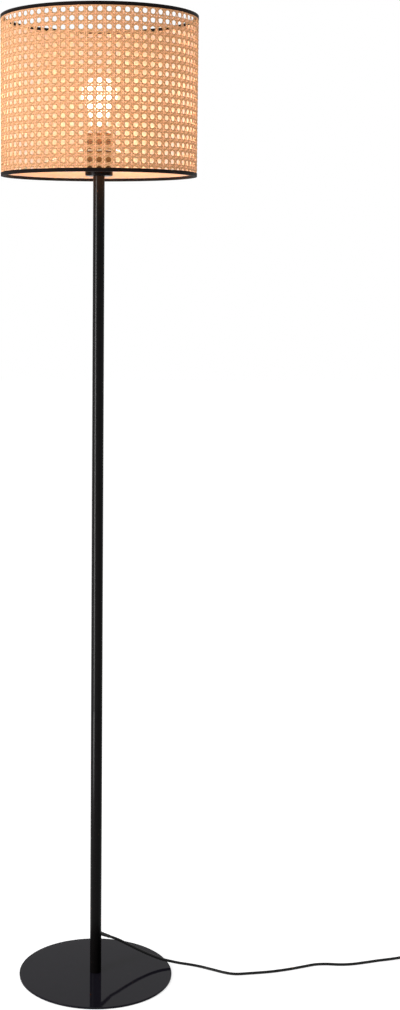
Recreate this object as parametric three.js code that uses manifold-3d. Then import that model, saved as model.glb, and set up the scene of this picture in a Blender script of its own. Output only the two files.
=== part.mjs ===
import * as THREE from "three";
import { mergeVertices } from "three/addons/utils/BufferGeometryUtils.js";
import Module from "manifold-3d";

// A floor lamp with a drum shade of cane webbing. Lengths are in millimetres.
// The lamp stands on z = 0 with its pole on the z axis, and its cord runs off towards +x.

// Whole lamp
const LAMP_HEIGHT = 1500;
const FIT = 0.3; // left between pieces that nest in or meet each other
const SEAT = 0.05; // left between two flat faces that bear on each other
const OVERRUN = 4; // how far a cutting shape passes the faces that it cuts

// Round base
const BASE_DIAMETER = 240;
const PLATE_THICKNESS = 3.2;
const PLATE_BEVEL = 0.8;
const PAD_THICKNESS = 0.8;
const PAD_INSET = 3;
const PAD_HOLE_DIAMETER = 34;
const BASE_SCREW_DIAMETER = 6;
const BASE_SCREW_HEAD_DIAMETER = 12;
const BASE_SCREW_HEAD_HEIGHT = 2.6;
const BASE_SCREW_REACH = 14;
const BASE_SCREW_KEY = 4;
const BASE_SCREW_KEY_DEPTH = 1.6;

// Pole, in equal lengths joined by couplers inside it
const POLE_DIAMETER = 18;
const POLE_WALL = 1.2;
const POLE_PARTS = ["lower", "middle", "upper"];
const POLE_PLUG_LENGTH = 20;
const COUPLER_LENGTH = 40;
const COUPLER_WALL = 2.5;

// Mains cord, and the bushing where it leaves the pole
const CORD_DIAMETER = 4.2;
const CORD_EXIT_HEIGHT = 62.8;
const CORD_EXIT_TURN = 35; // degrees from +x towards +y
const CORD_EXIT_DROP = 27.7; // degrees below level
const BUSHING_LENGTH = 20;
const BUSHING_DIAMETER = 6.4;
const BUSHING_TIP_DIAMETER = 5;
const BUSHING_TAIL = 3; // the part behind the pole's outer face
const INNER_BEND_HEIGHT = 46; // over which the cord inside the pole turns upright
const WIRE_DIAMETER = 1.9;

// Lampholder, each piece sized from the bulb's cap outwards
const CAP_DIAMETER = 26.4;
const SHELL_WALL = 0.5;
const BLOCK_RIM = 1.1;
const HOLDER_BASE_WALL = 2.1;
const HOLDER_BODY_WALL = 2.1;
const HOLDER_SKIRT_WALL = 3.6;
const CUP_CLEARANCE = 0.7;
const CUP_WALL = 0.8;
const CUP_FLOOR = 1.2;
const CUP_HEIGHT = 36;
const CUP_BEVEL = 1;
const CUP_RISE = 1; // the cup's underside above the shade's lower rim
const NIPPLE_DIAMETER = 10;
const NIPPLE_WALL = 1.7;
const NIPPLE_TAIL = 14; // in the plug below the cup
const NIPPLE_HEAD = 10; // above the cup's underside
const NUT_WIDTH = 16; // across its corners
const NUT_HEIGHT = 3;
const HOLDER_NECK_HEIGHT = 6;
const HOLDER_NECK_WALL = 4;
const HOLDER_CHAMBER_HEIGHT = 10;
const HOLDER_CHAMBER_WALL = 3;
const HOLDER_CONE_HEIGHT = 7;
const HOLDER_RIM_HEIGHT = 13.5;
const HOLDER_LAP = 8;
const HOLDER_SKIRT_HEIGHT = 29;
const FLANGE_WIDTH = 4;
const FLANGE_THICKNESS = 1.6;
const BLOCK_HEIGHT = 17.5;
const SHELL_HEIGHT = 22;
const TERMINAL_REACH = 8; // of each terminal from the axis
const TERMINAL_DEPTH = 9;
const TERMINAL_SCREW_DIAMETER = 3;
const TERMINAL_SCREW_LENGTH = 4.5;
const CONTACT_WIDTH = 6;
const CONTACT_LENGTH = 14;
const CONTACT_THICKNESS = 0.6;
const CONTACT_HEIGHT = 5.7;

// Bulb
const BULB_DIAMETER = 55;
const BULB_LENGTH = 108;
const GLASS_THICKNESS = 0.8;
const CAP_HEIGHT = 24.5;
const CAP_WALL = 0.5;
const CAP_THREAD_DEPTH = 0.5;
const CAP_THREAD_TURNS = 5;
const TIP_HEIGHT = 2.5;
const TIP_DIAMETER = 10;
const STEM_FLARE_HEIGHT = 7;
const STEM_HEIGHT = 34;
const STEM_DIAMETER = 6;
const FILAMENT_DIAMETER = 1;
const FILAMENT_SPAN = 24;
const FILAMENT_RISE = 28;

// Shade
const SHADE_HEIGHT = 245;
const SHADE_TOP_DIAMETER = 305;
const SHADE_BOTTOM_DIAMETER = 302.5;
const CANE_THICKNESS = 1;
const CANE_OPENING_WIDTH = 29; // coarse openings, which stand for the weave's own
const CANE_OPENING_HEIGHT = 36;
const CANE_OPENING_COLUMNS = 15; // round the shade
const CANE_OPENING_ROWS = 4;
const RIM_WIRE_DIAMETER = 3;
const TRIM_HEIGHT = 5.6;
const TRIM_WALL = 0.5;
const ARM_COUNT = 3;
const ARM_DIAMETER = 2.6;
const ARM_NOTCH_CLEARANCE = 0.8;
const FITTER_RIM = 2.2; // of the fitting ring, past the holder's flange
const FITTER_THICKNESS = 1.8;
const RETAINER_HEIGHT = 4;

// Foot switch, on the cord
const SWITCH_X = 572;
const SWITCH_Y = 52;
const SWITCH_LENGTH = 84;
const SWITCH_WIDTH = 42;
const SWITCH_CORNER = 12;
const SWITCH_WALL = 2;
const SWITCH_PAD_THICKNESS = 0.8;
const SWITCH_PAD_INSET = 1.5;
const SWITCH_BASE_HEIGHT = 7;
const SWITCH_COVER_HEIGHT = 11.7;
const SWITCH_BEVEL = 3;
const BUTTON_DIAMETER = 24;
const BUTTON_WALL = 2.4;
const BUTTON_RISE = 5.5;
const BUTTON_CROWN = 1.2;
const BUTTON_LIP = 2;
const BUTTON_TRAVEL = 3.5;
const CONTACT_BLOCK_LENGTH = 32;
const CONTACT_BLOCK_WIDTH = 20;
const SPRING_DIAMETER = 10;
const SPRING_WIRE = 0.9;
const SPRING_CURLS = 5;
const SWITCH_SCREW_DIAMETER = 2.6;
const SWITCH_SCREW_HEAD = 4.8;
const SWITCH_SCREW_HEAD_HEIGHT = 1.2;
const SWITCH_POST_WALL = 1.4;
const BOOT_LENGTH = 25;
const BOOT_DIAMETER = 8;
const BOOT_TIP_DIAMETER = 5.2;
const BOOT_FLANGE = 1.2;

// Coil of spare cord, its tie, and the plug
const COIL_X = 640;
const COIL_Y = -22;
const COIL_MIDDLE_DIAMETER = 50; // of its turns, centre to centre
const COIL_LOOPS = 6; // in two layers
const COIL_PITCH = 4.9; // from turn to turn and from layer to layer
const COIL_FLOOR_GAP = 0.8; // the tie's strap lies under the turns
const TIE_WIDTH = 8;
const TIE_THICKNESS = 0.5;
const TIE_CORNER = 2.5;
const PLUG_X = 604;
const PLUG_Y = -66.5;
const PLUG_LENGTH = 36;
const PLUG_WIDTH = 35;
const PLUG_NECK_WIDTH = 15;
const PLUG_THICKNESS = 13.7;
const PLUG_BEVEL = 1.6;
const PLUG_BOOT_LENGTH = 28;
const PLUG_BOOT_DIAMETER = 9;
const PIN_LENGTH = 19;
const PIN_DIAMETER = 4;
const PIN_SPACING = 18.6;
const PIN_ROOT = 4; // held inside the plug's body

// How finely round pieces are faceted, as numbers of sides and steps
const RIM_SIDES = 60;
const BASE_SIDES = 64;
const POLE_SIDES = 24;
const HOLDER_SIDES = 24;
const BULB_SIDES = 24;
const SMALL_SIDES = 12;
const WIRE_SIDES = 6;
const CORD_SIDES = 8;
const LOOP_STEPS = 24;
const CURL_STEPS = 8;
const CURL_SIDES = 5;
const CORNER_STEPS = 5;
const GLASS_STEPS = 5;
const ARCH_STEPS = 8;
const CORD_STEP_SHARE = 2.6; // of the cord's diameter

// Heights and radii that several pieces share
const plateBottom = PAD_THICKNESS + SEAT;
const plateTop = plateBottom + PLATE_THICKNESS;
const poleFoot = plateTop + SEAT;
const shadeBottom = LAMP_HEIGHT - SHADE_HEIGHT;
const cupBottom = shadeBottom + CUP_RISE;
const poleTop = cupBottom - SEAT;
const poleRadius = POLE_DIAMETER / 2;
const poleBore = poleRadius - POLE_WALL;
const poleInsert = poleBore - FIT;
const cordRadius = CORD_DIAMETER / 2;
const nippleHole = NIPPLE_DIAMETER / 2 + FIT;
const shellBore = CAP_DIAMETER / 2 + FIT;
const shellRadius = shellBore + SHELL_WALL;
const blockRadius = shellRadius + BLOCK_RIM;
const holderBaseBore = blockRadius + FIT;
const holderBaseRadius = holderBaseBore + HOLDER_BASE_WALL;
const holderBodyBore = holderBaseRadius + FIT;
const skirtRadius = holderBodyBore + HOLDER_BODY_WALL;
const cupRadius = skirtRadius + CUP_CLEARANCE + CUP_WALL;
const nutBottom = CUP_FLOOR + SEAT;
const holderBottom = nutBottom + NUT_HEIGHT + FIT;
const holderNeckTop = holderBottom + HOLDER_NECK_HEIGHT;
const holderLedge = holderNeckTop + HOLDER_CHAMBER_HEIGHT;
const holderRim = holderLedge + HOLDER_RIM_HEIGHT;
const blockBottom = holderLedge + SEAT;
const blockTop = blockBottom + BLOCK_HEIGHT;
const flangeRadius = skirtRadius + FLANGE_WIDTH;
const flangeBottom = CUP_HEIGHT + SEAT;
const flangeTop = flangeBottom + FLANGE_THICKNESS;
const fitterBottom = flangeTop + SEAT;
const fitterTop = fitterBottom + FITTER_THICKNESS;
const bulbTip = cupBottom + blockTop + CONTACT_HEIGHT + SEAT + FIT;

// Places that the rim wires and the trim share, measured inwards from a rim's outer face
const caneInset = TRIM_WALL + FIT;
const wireInset = caneInset + CANE_THICKNESS + FIT + RIM_WIRE_DIAMETER / 2;
const trimWidth = wireInset + RIM_WIRE_DIAMETER / 2 + FIT + TRIM_WALL;
const wireRise = TRIM_WALL + FIT + RIM_WIRE_DIAMETER / 2;

const FULL_TURN = 2 * Math.PI;
const radians = (degrees) => THREE.MathUtils.degToRad(degrees);

const FINISHES = {
  gloss_black: { color: 0x141415, roughness: 0.16, metalness: 0.1 },
  satin_black: { color: 0x1c1a19, roughness: 0.35, metalness: 0.2 },
  black_plastic: { color: 0x191817, roughness: 0.5, metalness: 0 },
  black_cord: { color: 0x161616, roughness: 0.55, metalness: 0 },
  rubber: { color: 0x242424, roughness: 0.9, metalness: 0 },
  steel: { color: 0xa9abad, roughness: 0.35, metalness: 1 },
  brass: { color: 0xc9a35a, roughness: 0.3, metalness: 1 },
  ceramic: { color: 0xe9e4da, roughness: 0.45, metalness: 0 },
  white_enamel: { color: 0xefe9dd, roughness: 0.4, metalness: 0 },
  cane: { color: 0xd9ab6e, roughness: 0.6, metalness: 0 },
  opal_glass: { color: 0xfff3da, roughness: 0.25, metalness: 0 },
  clear_glass: { color: 0xe6ecec, roughness: 0.05, metalness: 0 },
  tungsten: { color: 0xffd9a0, roughness: 0.5, metalness: 0.6 },
};

const wasm = await Module();
wasm.setup();

// Shared vertices merged, slivers without area dropped and faces turned outwards.
function tidy(geometry) {
  const plain = geometry.clone();
  plain.deleteAttribute("normal");
  plain.deleteAttribute("uv");
  const merged = mergeVertices(plain);
  const corner = (i) => new THREE.Vector3().fromBufferAttribute(merged.attributes.position, i);
  const faces = [];
  let volume = 0;
  for (let i = 0; i < merged.index.count; i += 3) {
    const [a, b, c] = [0, 1, 2].map((k) => merged.index.getX(i + k));
    if (a === b || b === c || c === a) continue;
    faces.push([a, b, c]);
    volume += corner(a).dot(corner(b).cross(corner(c)));
  }
  merged.setIndex(faces.flatMap(([a, b, c]) => (volume < 0 ? [a, c, b] : [a, b, c])));
  merged.computeVertexNormals();
  return merged;
}

function toSolid(geometry) {
  const { attributes, index } = tidy(geometry);
  const vertProperties = new Float32Array(attributes.position.array);
  const triVerts = new Uint32Array(index.array);
  return new wasm.Manifold(new wasm.Mesh({ numProp: 3, vertProperties, triVerts }));
}

function toGeometry(solid) {
  const mesh = solid.getMesh();
  const geometry = new THREE.BufferGeometry();
  geometry.setAttribute("position", new THREE.BufferAttribute(mesh.vertProperties, 3));
  geometry.setIndex(new THREE.BufferAttribute(mesh.triVerts, 1));
  geometry.computeVertexNormals();
  return geometry;
}

function cut(body, ...tools) {
  return toGeometry(tools.reduce((rest, tool) => rest.subtract(toSolid(tool)), toSolid(body)));
}

function join(body, ...others) {
  return toGeometry(others.reduce((all, other) => all.add(toSolid(other)), toSolid(body)));
}

// A solid of revolution about z, from [radius, height] pairs. It closes on itself or on the axis.
function revolve(profile, sides) {
  const points = profile.map(([radius, height]) => new THREE.Vector2(radius, height));
  const onAxis = points[0].x === 0 && points.at(-1).x === 0;
  if (!onAxis) points.push(points[0].clone());
  return tidy(new THREE.LatheGeometry(points, sides).rotateX(Math.PI / 2));
}

function ring(inner, outer, bottom, top, sides) {
  return revolve([[inner, bottom], [outer, bottom], [outer, top], [inner, top]], sides);
}

function rod(radius, bottom, top, sides) {
  return revolve([[0, bottom], [radius, bottom], [radius, top], [0, top]], sides);
}

// A solid between outlines of equally many points, one above the other.
function stack(levels) {
  const count = levels[0].outline.length;
  const position = levels.flatMap(({ outline, z }) => outline.flatMap(({ x, y }) => [x, y, z]));
  const index = [];
  for (let level = 0; level + 1 < levels.length; level++) {
    for (let i = 0; i < count; i++) {
      const a = level * count + i;
      const b = level * count + ((i + 1) % count);
      index.push(a, b, b + count, a, b + count, a + count);
    }
  }
  const last = (levels.length - 1) * count;
  for (let i = 1; i + 1 < count; i++) {
    index.push(0, i + 1, i, last, last + i, last + i + 1);
  }
  const geometry = new THREE.BufferGeometry();
  geometry.setAttribute("position", new THREE.Float32BufferAttribute(position, 3));
  geometry.setIndex(index);
  return tidy(geometry);
}

function roundedOutline(length, width, corner) {
  const outline = [];
  [[1, 1], [-1, 1], [-1, -1], [1, -1]].forEach(([alongX, alongY], quarter) => {
    for (let step = 0; step <= CORNER_STEPS; step++) {
      const angle = ((quarter + step / CORNER_STEPS) * Math.PI) / 2;
      const x = alongX * (length / 2 - corner) + corner * Math.cos(angle);
      const y = alongY * (width / 2 - corner) + corner * Math.sin(angle);
      outline.push(new THREE.Vector2(x, y));
    }
  });
  return outline;
}

// A tube through points, with flat ends. The first ring's corners start from the direction start.
function tube(points, radius, sides, start) {
  const position = [];
  const index = [];
  let across = start;
  points.forEach((point, i) => {
    const ahead = points[Math.min(i + 1, points.length - 1)];
    const along = ahead.clone().sub(points[Math.max(i - 1, 0)]).normalize();
    across = across.clone().addScaledVector(along, -across.dot(along)).normalize();
    const over = along.clone().cross(across);
    for (let side = 0; side < sides; side++) {
      const angle = (side / sides) * FULL_TURN;
      const corner = point.clone().addScaledVector(across, radius * Math.cos(angle));
      position.push(...corner.addScaledVector(over, radius * Math.sin(angle)).toArray());
    }
  });
  for (let i = 0; i + 1 < points.length; i++) {
    for (let side = 0; side < sides; side++) {
      const a = i * sides + side;
      const b = i * sides + ((side + 1) % sides);
      index.push(a, b, b + sides, a, b + sides, a + sides);
    }
  }
  const last = (points.length - 1) * sides;
  for (let side = 1; side + 1 < sides; side++) {
    index.push(0, side + 1, side, last, last + side, last + side + 1);
  }
  const geometry = new THREE.BufferGeometry();
  geometry.setAttribute("position", new THREE.Float32BufferAttribute(position, 3));
  geometry.setIndex(index);
  return tidy(geometry);
}

// A cord laid along a smooth curve through points, square at both ends.
function cordAlong(points) {
  const route = new THREE.CatmullRomCurve3(points, false, "catmullrom");
  const outline = Array.from({ length: CORD_SIDES }, (_, side) => {
    const angle = ((side + 0.5) / CORD_SIDES) * FULL_TURN;
    return new THREE.Vector2(cordRadius * Math.cos(angle), cordRadius * Math.sin(angle));
  });
  const steps = Math.round(route.getLength() / (CORD_DIAMETER * CORD_STEP_SHARE));
  const options = { steps, extrudePath: route, bevelEnabled: false };
  return tidy(new THREE.ExtrudeGeometry(new THREE.Shape(outline), options));
}

// A round sleeve that tapers along +x from a root diameter to a tip diameter.
function taperedSleeve(tail, length, rootDiameter, tipDiameter) {
  const profile = [[0, -tail], [rootDiameter / 2, -tail], [rootDiameter / 2, 0]];
  profile.push([tipDiameter / 2, length], [0, length]);
  return revolve(profile, SMALL_SIDES).rotateY(Math.PI / 2);
}

function piece(name, finish, geometry) {
  const mesh = new THREE.Mesh(tidy(geometry), new THREE.MeshStandardMaterial(FINISHES[finish]));
  mesh.name = name;
  return mesh;
}

function assembly(place, ...pieces) {
  const group = new THREE.Group();
  group.position.set(...place);
  group.add(...pieces);
  return group;
}

// Base: an anti-slip pad, a steel plate and the screw that holds the pole.

function basePlate() {
  const radius = BASE_DIAMETER / 2;
  const disc = revolve([
    [0, plateBottom],
    [radius - PLATE_BEVEL, plateBottom],
    [radius, plateBottom + PLATE_BEVEL],
    [radius, plateTop - PLATE_BEVEL],
    [radius - PLATE_BEVEL, plateTop],
    [0, plateTop],
  ], BASE_SIDES);
  const head = BASE_SCREW_HEAD_DIAMETER / 2 + FIT;
  const shank = BASE_SCREW_DIAMETER / 2 + FIT;
  const sink = revolve([
    [0, plateBottom - OVERRUN],
    [head, plateBottom - OVERRUN],
    [head, plateBottom],
    [shank, plateBottom + BASE_SCREW_HEAD_HEIGHT],
    [shank, plateTop + OVERRUN],
    [0, plateTop + OVERRUN],
  ], SMALL_SIDES);
  return piece("base_plate", "gloss_black", cut(disc, sink));
}

function basePad() {
  const outer = BASE_DIAMETER / 2 - PAD_INSET;
  return piece("base_pad", "rubber", ring(PAD_HOLE_DIAMETER / 2, outer, 0, PAD_THICKNESS, BASE_SIDES));
}

function baseScrew() {
  const shank = BASE_SCREW_DIAMETER / 2;
  const body = revolve([
    [0, plateBottom],
    [BASE_SCREW_HEAD_DIAMETER / 2, plateBottom],
    [shank, plateBottom + BASE_SCREW_HEAD_HEIGHT],
    [shank, plateTop + BASE_SCREW_REACH],
    [0, plateTop + BASE_SCREW_REACH],
  ], SMALL_SIDES);
  const key = rod(BASE_SCREW_KEY / 2, plateBottom - OVERRUN, plateBottom + BASE_SCREW_KEY_DEPTH, WIRE_SIDES);
  return piece("base_screw", "steel", cut(body, key));
}

// Pole: three tubes, a threaded plug at each end and a coupler inside each joint.

function footPlug() {
  const bore = BASE_SCREW_DIAMETER / 2 + FIT;
  const plug = ring(bore, poleInsert, poleFoot, poleFoot + POLE_PLUG_LENGTH, SMALL_SIDES);
  return piece("pole_foot_plug", "steel", plug);
}

function headPlug() {
  const bottom = poleTop - POLE_PLUG_LENGTH;
  return piece("pole_head_plug", "steel", ring(nippleHole, poleInsert, bottom, poleTop, SMALL_SIDES));
}

// The direction in which the cord leaves the pole, and the point on the pole's face.
const exitTurn = radians(CORD_EXIT_TURN);
const exitDrop = radians(CORD_EXIT_DROP);
const exitLevel = new THREE.Vector3(Math.cos(exitTurn), Math.sin(exitTurn), 0);
const exitDirection = exitLevel.clone().multiplyScalar(Math.cos(exitDrop));
exitDirection.z = -Math.sin(exitDrop);
const exitPoint = exitLevel.clone().multiplyScalar(poleRadius);
exitPoint.z = CORD_EXIT_HEIGHT;

function turnToExit(geometry) {
  geometry.rotateY(exitDrop);
  geometry.rotateZ(exitTurn);
  return geometry.translate(...exitPoint.toArray());
}

function poleTubes() {
  const partLength = (poleTop - poleFoot) / POLE_PARTS.length;
  return POLE_PARTS.map((part, i) => {
    const bottom = poleFoot + i * partLength;
    const top = bottom + partLength - (i + 1 < POLE_PARTS.length ? SEAT : 0);
    const wall = ring(poleBore, poleRadius, bottom, top, POLE_SIDES);
    const hole = rod(BUSHING_DIAMETER / 2 + FIT, -poleRadius, poleRadius, SMALL_SIDES).rotateY(Math.PI / 2);
    const tubeWall = i === 0 ? cut(wall, turnToExit(hole)) : wall;
    return piece(`pole_${part}`, "satin_black", tubeWall);
  });
}

function couplers() {
  const partLength = (poleTop - poleFoot) / POLE_PARTS.length;
  return POLE_PARTS.slice(1).map((part, i) => {
    const middle = poleFoot + (i + 1) * partLength;
    const [bottom, top] = [middle - COUPLER_LENGTH / 2, middle + COUPLER_LENGTH / 2];
    const sleeve = ring(poleInsert - COUPLER_WALL, poleInsert, bottom, top, SMALL_SIDES);
    return piece(`${part}_coupler`, "steel", sleeve);
  });
}

function cordBushing() {
  const sleeve = taperedSleeve(BUSHING_TAIL, BUSHING_LENGTH, BUSHING_DIAMETER, BUSHING_TIP_DIAMETER);
  return piece("cord_bushing", "rubber", turnToExit(sleeve));
}

// The cord inside the pole. It swings across the bore in an easy bend and rises to the lampholder.
const INNER_BEND_REACH_SHARES = [1, 0.44, -0.02, -0.44, -0.72, -0.8, -0.62, 0]; // of the start's reach
const INNER_BEND_RISE_SHARES = [0, 0.055, 0.11, 0.19, 0.3, 0.46, 0.7, 1]; // of the bend's height
const WIRE_BEND_SHARE = 0.3; // of the room between the cord's end and the terminals
const innerCordTop = cupBottom + holderNeckTop;

function innerCord() {
  const start = exitPoint.clone().addScaledVector(exitDirection, -BUSHING_TAIL - FIT);
  const reach = Math.hypot(start.x, start.y);
  const points = INNER_BEND_REACH_SHARES.map((share, i) => {
    const point = exitLevel.clone().multiplyScalar(share * reach);
    point.z = start.z + INNER_BEND_RISE_SHARES[i] * INNER_BEND_HEIGHT;
    return point;
  });
  points.splice(1, 0, start.clone().addScaledVector(exitDirection, -cordRadius / 2));
  points.push(new THREE.Vector3(0, 0, innerCordTop));
  return piece("inner_cord", "black_cord", tube(points, cordRadius, CORD_SIDES, new THREE.Vector3(0, 0, 1)));
}

function innerWires() {
  return [["live_wire", 1], ["neutral_wire", -1]].map(([name, side]) => {
    const near = side * (WIRE_DIAMETER / 2 + SEAT);
    const far = side * TERMINAL_REACH;
    const bottom = innerCordTop + FIT;
    const top = cupBottom + blockBottom + TERMINAL_DEPTH / 2;
    const rise = top - TERMINAL_DEPTH - bottom;
    const points = [
      new THREE.Vector3(near, 0, bottom),
      new THREE.Vector3(near, 0, bottom + rise * WIRE_BEND_SHARE),
      new THREE.Vector3(far, 0, top - TERMINAL_DEPTH + rise * WIRE_BEND_SHARE),
      new THREE.Vector3(far, 0, top),
    ];
    const route = tube(points, WIRE_DIAMETER / 2, WIRE_SIDES, new THREE.Vector3(0, 1, 0));
    return piece(name, side > 0 ? "brass" : "steel", route);
  });
}

// Lampholder, built up from the cup's underside.

function nipple() {
  const outer = NIPPLE_DIAMETER / 2;
  return piece("nipple", "steel", ring(outer - NIPPLE_WALL, outer, -NIPPLE_TAIL, NIPPLE_HEAD, SMALL_SIDES));
}

function nippleNut() {
  const body = rod(NUT_WIDTH / 2, nutBottom, nutBottom + NUT_HEIGHT, WIRE_SIDES);
  const hole = rod(nippleHole, nutBottom - OVERRUN, nutBottom + NUT_HEIGHT + OVERRUN, SMALL_SIDES);
  return piece("nipple_nut", "steel", cut(body, hole));
}

function holderCup() {
  return piece("holder_cup", "satin_black", revolve([
    [nippleHole, 0],
    [cupRadius - CUP_BEVEL, 0],
    [cupRadius, CUP_BEVEL],
    [cupRadius, CUP_HEIGHT],
    [cupRadius - CUP_WALL, CUP_HEIGHT],
    [cupRadius - CUP_WALL, CUP_FLOOR],
    [nippleHole, CUP_FLOOR],
  ], HOLDER_SIDES));
}

function holderBase() {
  const chamber = nippleHole + HOLDER_NECK_WALL + HOLDER_CHAMBER_WALL;
  return piece("holder_base", "black_plastic", revolve([
    [nippleHole, holderBottom],
    [nippleHole + HOLDER_NECK_WALL, holderBottom],
    [nippleHole + HOLDER_NECK_WALL, holderNeckTop],
    [holderBaseRadius, holderNeckTop + HOLDER_CONE_HEIGHT],
    [holderBaseRadius, holderRim],
    [holderBaseBore, holderRim],
    [holderBaseBore, holderLedge],
    [chamber - HOLDER_CHAMBER_WALL / 2, holderLedge],
    [nippleHole, holderNeckTop],
  ], HOLDER_SIDES));
}

function holderBody() {
  const skirtTop = flangeTop + HOLDER_SKIRT_HEIGHT - FLANGE_THICKNESS;
  return piece("holder_body", "black_plastic", revolve([
    [holderBodyBore, holderRim - HOLDER_LAP],
    [skirtRadius, holderRim - HOLDER_LAP],
    [skirtRadius, flangeBottom],
    [flangeRadius, flangeBottom],
    [flangeRadius, flangeTop],
    [skirtRadius, flangeTop],
    [skirtRadius, skirtTop],
    [skirtRadius - HOLDER_SKIRT_WALL, skirtTop],
    [skirtRadius - HOLDER_SKIRT_WALL, holderRim + FIT],
    [holderBodyBore, holderRim + FIT],
  ], HOLDER_SIDES));
}

// A round bar that lies in the block's side, across a terminal, from its inner end outwards.
function terminalBar(side, radius, length) {
  const bar = rod(radius, 0, length, SMALL_SIDES).rotateY(Math.PI / 2);
  const inner = blockRadius - TERMINAL_SCREW_LENGTH - FIT;
  bar.translate(inner, 0, blockBottom + TERMINAL_DEPTH + TERMINAL_SCREW_DIAMETER / 2);
  return side > 0 ? bar : bar.rotateZ(Math.PI);
}

function terminalBlock() {
  const body = rod(blockRadius, blockBottom, blockTop, HOLDER_SIDES);
  const bore = WIRE_DIAMETER / 2 + FIT;
  const cuts = [1, -1].flatMap((side) => {
    const wireHole = rod(bore, blockBottom - OVERRUN, blockBottom + TERMINAL_DEPTH, SMALL_SIDES);
    const screwHole = terminalBar(side, TERMINAL_SCREW_DIAMETER / 2 + FIT, TERMINAL_SCREW_LENGTH + OVERRUN);
    return [wireHole.translate(side * TERMINAL_REACH, 0, 0), screwHole];
  });
  return piece("terminal_block", "ceramic", cut(body, ...cuts));
}

function screwShell() {
  const bottom = blockTop + SEAT;
  const shell = ring(shellBore, shellRadius, bottom, bottom + SHELL_HEIGHT, HOLDER_SIDES);
  return piece("screw_shell", "brass", shell);
}

// A brass strip that rises from the terminal block to the bulb's tip.
const CONTACT_RUN_SHARES = [0, 0.45, 0.8, 1];
const CONTACT_RISE_SHARES = [0, 0, 0.9, 1];

function centreContact() {
  const bottom = blockTop + SEAT;
  const rise = CONTACT_HEIGHT - CONTACT_THICKNESS;
  const lower = CONTACT_RUN_SHARES.map((run, i) => {
    const x = (run - CONTACT_RUN_SHARES.at(-1) / 2) * CONTACT_LENGTH;
    return new THREE.Vector2(x, bottom + CONTACT_RISE_SHARES[i] * rise);
  });
  const upper = lower.map(({ x, y }) => new THREE.Vector2(x, y + CONTACT_THICKNESS)).reverse();
  const options = { depth: CONTACT_WIDTH, bevelEnabled: false };
  const strip = new THREE.ExtrudeGeometry(new THREE.Shape([...lower, ...upper]), options);
  return piece("centre_contact", "brass", strip.translate(0, 0, -CONTACT_WIDTH / 2).rotateX(Math.PI / 2));
}

function lampholder() {
  const screws = [1, -1].map((side, i) => {
    const screw = terminalBar(side, TERMINAL_SCREW_DIAMETER / 2, TERMINAL_SCREW_LENGTH);
    return piece(`terminal_screw_${i + 1}`, "steel", screw);
  });
  return assembly([0, 0, cupBottom], nipple(), nippleNut(), holderCup(), holderBase(), holderBody(),
    terminalBlock(), screwShell(), centreContact(), shadeRetainer(), ...screws);
}

function shadeRetainer() {
  const bottom = fitterTop + SEAT;
  const rim = ring(skirtRadius + FIT, flangeRadius, bottom, bottom + RETAINER_HEIGHT, HOLDER_SIDES);
  return piece("shade_retaining_ring", "black_plastic", rim);
}

// Bulb, built up from the contact at its tip.

const capBore = CAP_DIAMETER / 2 - CAP_THREAD_DEPTH - CAP_WALL;
const capTop = TIP_HEIGHT + CAP_HEIGHT;
const GLASS_SEAT_SHARE = 0.4; // of the cap's height that the glass reaches down
const GLASS_SHOULDER = 40; // degrees below the widest point, where the neck begins
const GLASS_NECK_SHARE = 0.3; // of the bulb's radius, the reach of the neck's curve

// The glass's outline from its lower edge to the axis, a distance inside its outer face.
function glassOutline(inset) {
  const radius = BULB_DIAMETER / 2 - inset;
  const centre = BULB_LENGTH - BULB_DIAMETER / 2;
  const neck = capBore - FIT - inset;
  const angle = radians(GLASS_SHOULDER);
  const [x, y] = [radius * Math.cos(angle), centre - radius * Math.sin(angle)];
  const reach = GLASS_NECK_SHARE * radius;
  const path = new THREE.Path();
  path.moveTo(neck, capTop - CAP_HEIGHT * GLASS_SEAT_SHARE);
  path.lineTo(neck, capTop);
  path.bezierCurveTo(neck, capTop + reach, x - reach * Math.sin(angle), y - reach * Math.cos(angle), x, y);
  path.absarc(0, centre, radius, -angle, Math.PI / 2, false);
  const points = path.getPoints(GLASS_STEPS).map((point) => [point.x, point.y]);
  points.at(-1)[0] = 0;
  return points;
}

function bulbGlass() {
  const outline = [...glassOutline(0), ...glassOutline(GLASS_THICKNESS).reverse()];
  const points = outline.map(([radius, height]) => new THREE.Vector2(radius, height));
  points.push(points[0].clone());
  return piece("bulb_glass", "opal_glass", new THREE.LatheGeometry(points, BULB_SIDES).rotateX(Math.PI / 2));
}

function bulbCap() {
  const outer = CAP_DIAMETER / 2;
  const pitch = CAP_HEIGHT / (CAP_THREAD_TURNS + 1);
  const profile = [[capBore, TIP_HEIGHT], [outer - CAP_THREAD_DEPTH, TIP_HEIGHT]];
  for (let turn = 0; turn < CAP_THREAD_TURNS; turn++) {
    profile.push([outer, TIP_HEIGHT + (turn + 0.5) * pitch]);
    profile.push([outer - CAP_THREAD_DEPTH, TIP_HEIGHT + (turn + 1) * pitch]);
  }
  profile.push([outer - CAP_THREAD_DEPTH, capTop], [capBore, capTop]);
  return piece("bulb_cap", "steel", revolve(profile, BULB_SIDES));
}

function bulbContact() {
  const plug = capBore - FIT;
  return piece("bulb_contact", "black_plastic", revolve([
    [0, 0],
    [TIP_DIAMETER / 2, 0],
    [plug, TIP_HEIGHT],
    [plug, TIP_HEIGHT * 2],
    [0, TIP_HEIGHT * 2],
  ], BULB_SIDES));
}

const stemBottom = capTop - CAP_HEIGHT * GLASS_SEAT_SHARE;
const stemTop = stemBottom + STEM_HEIGHT;

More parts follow.
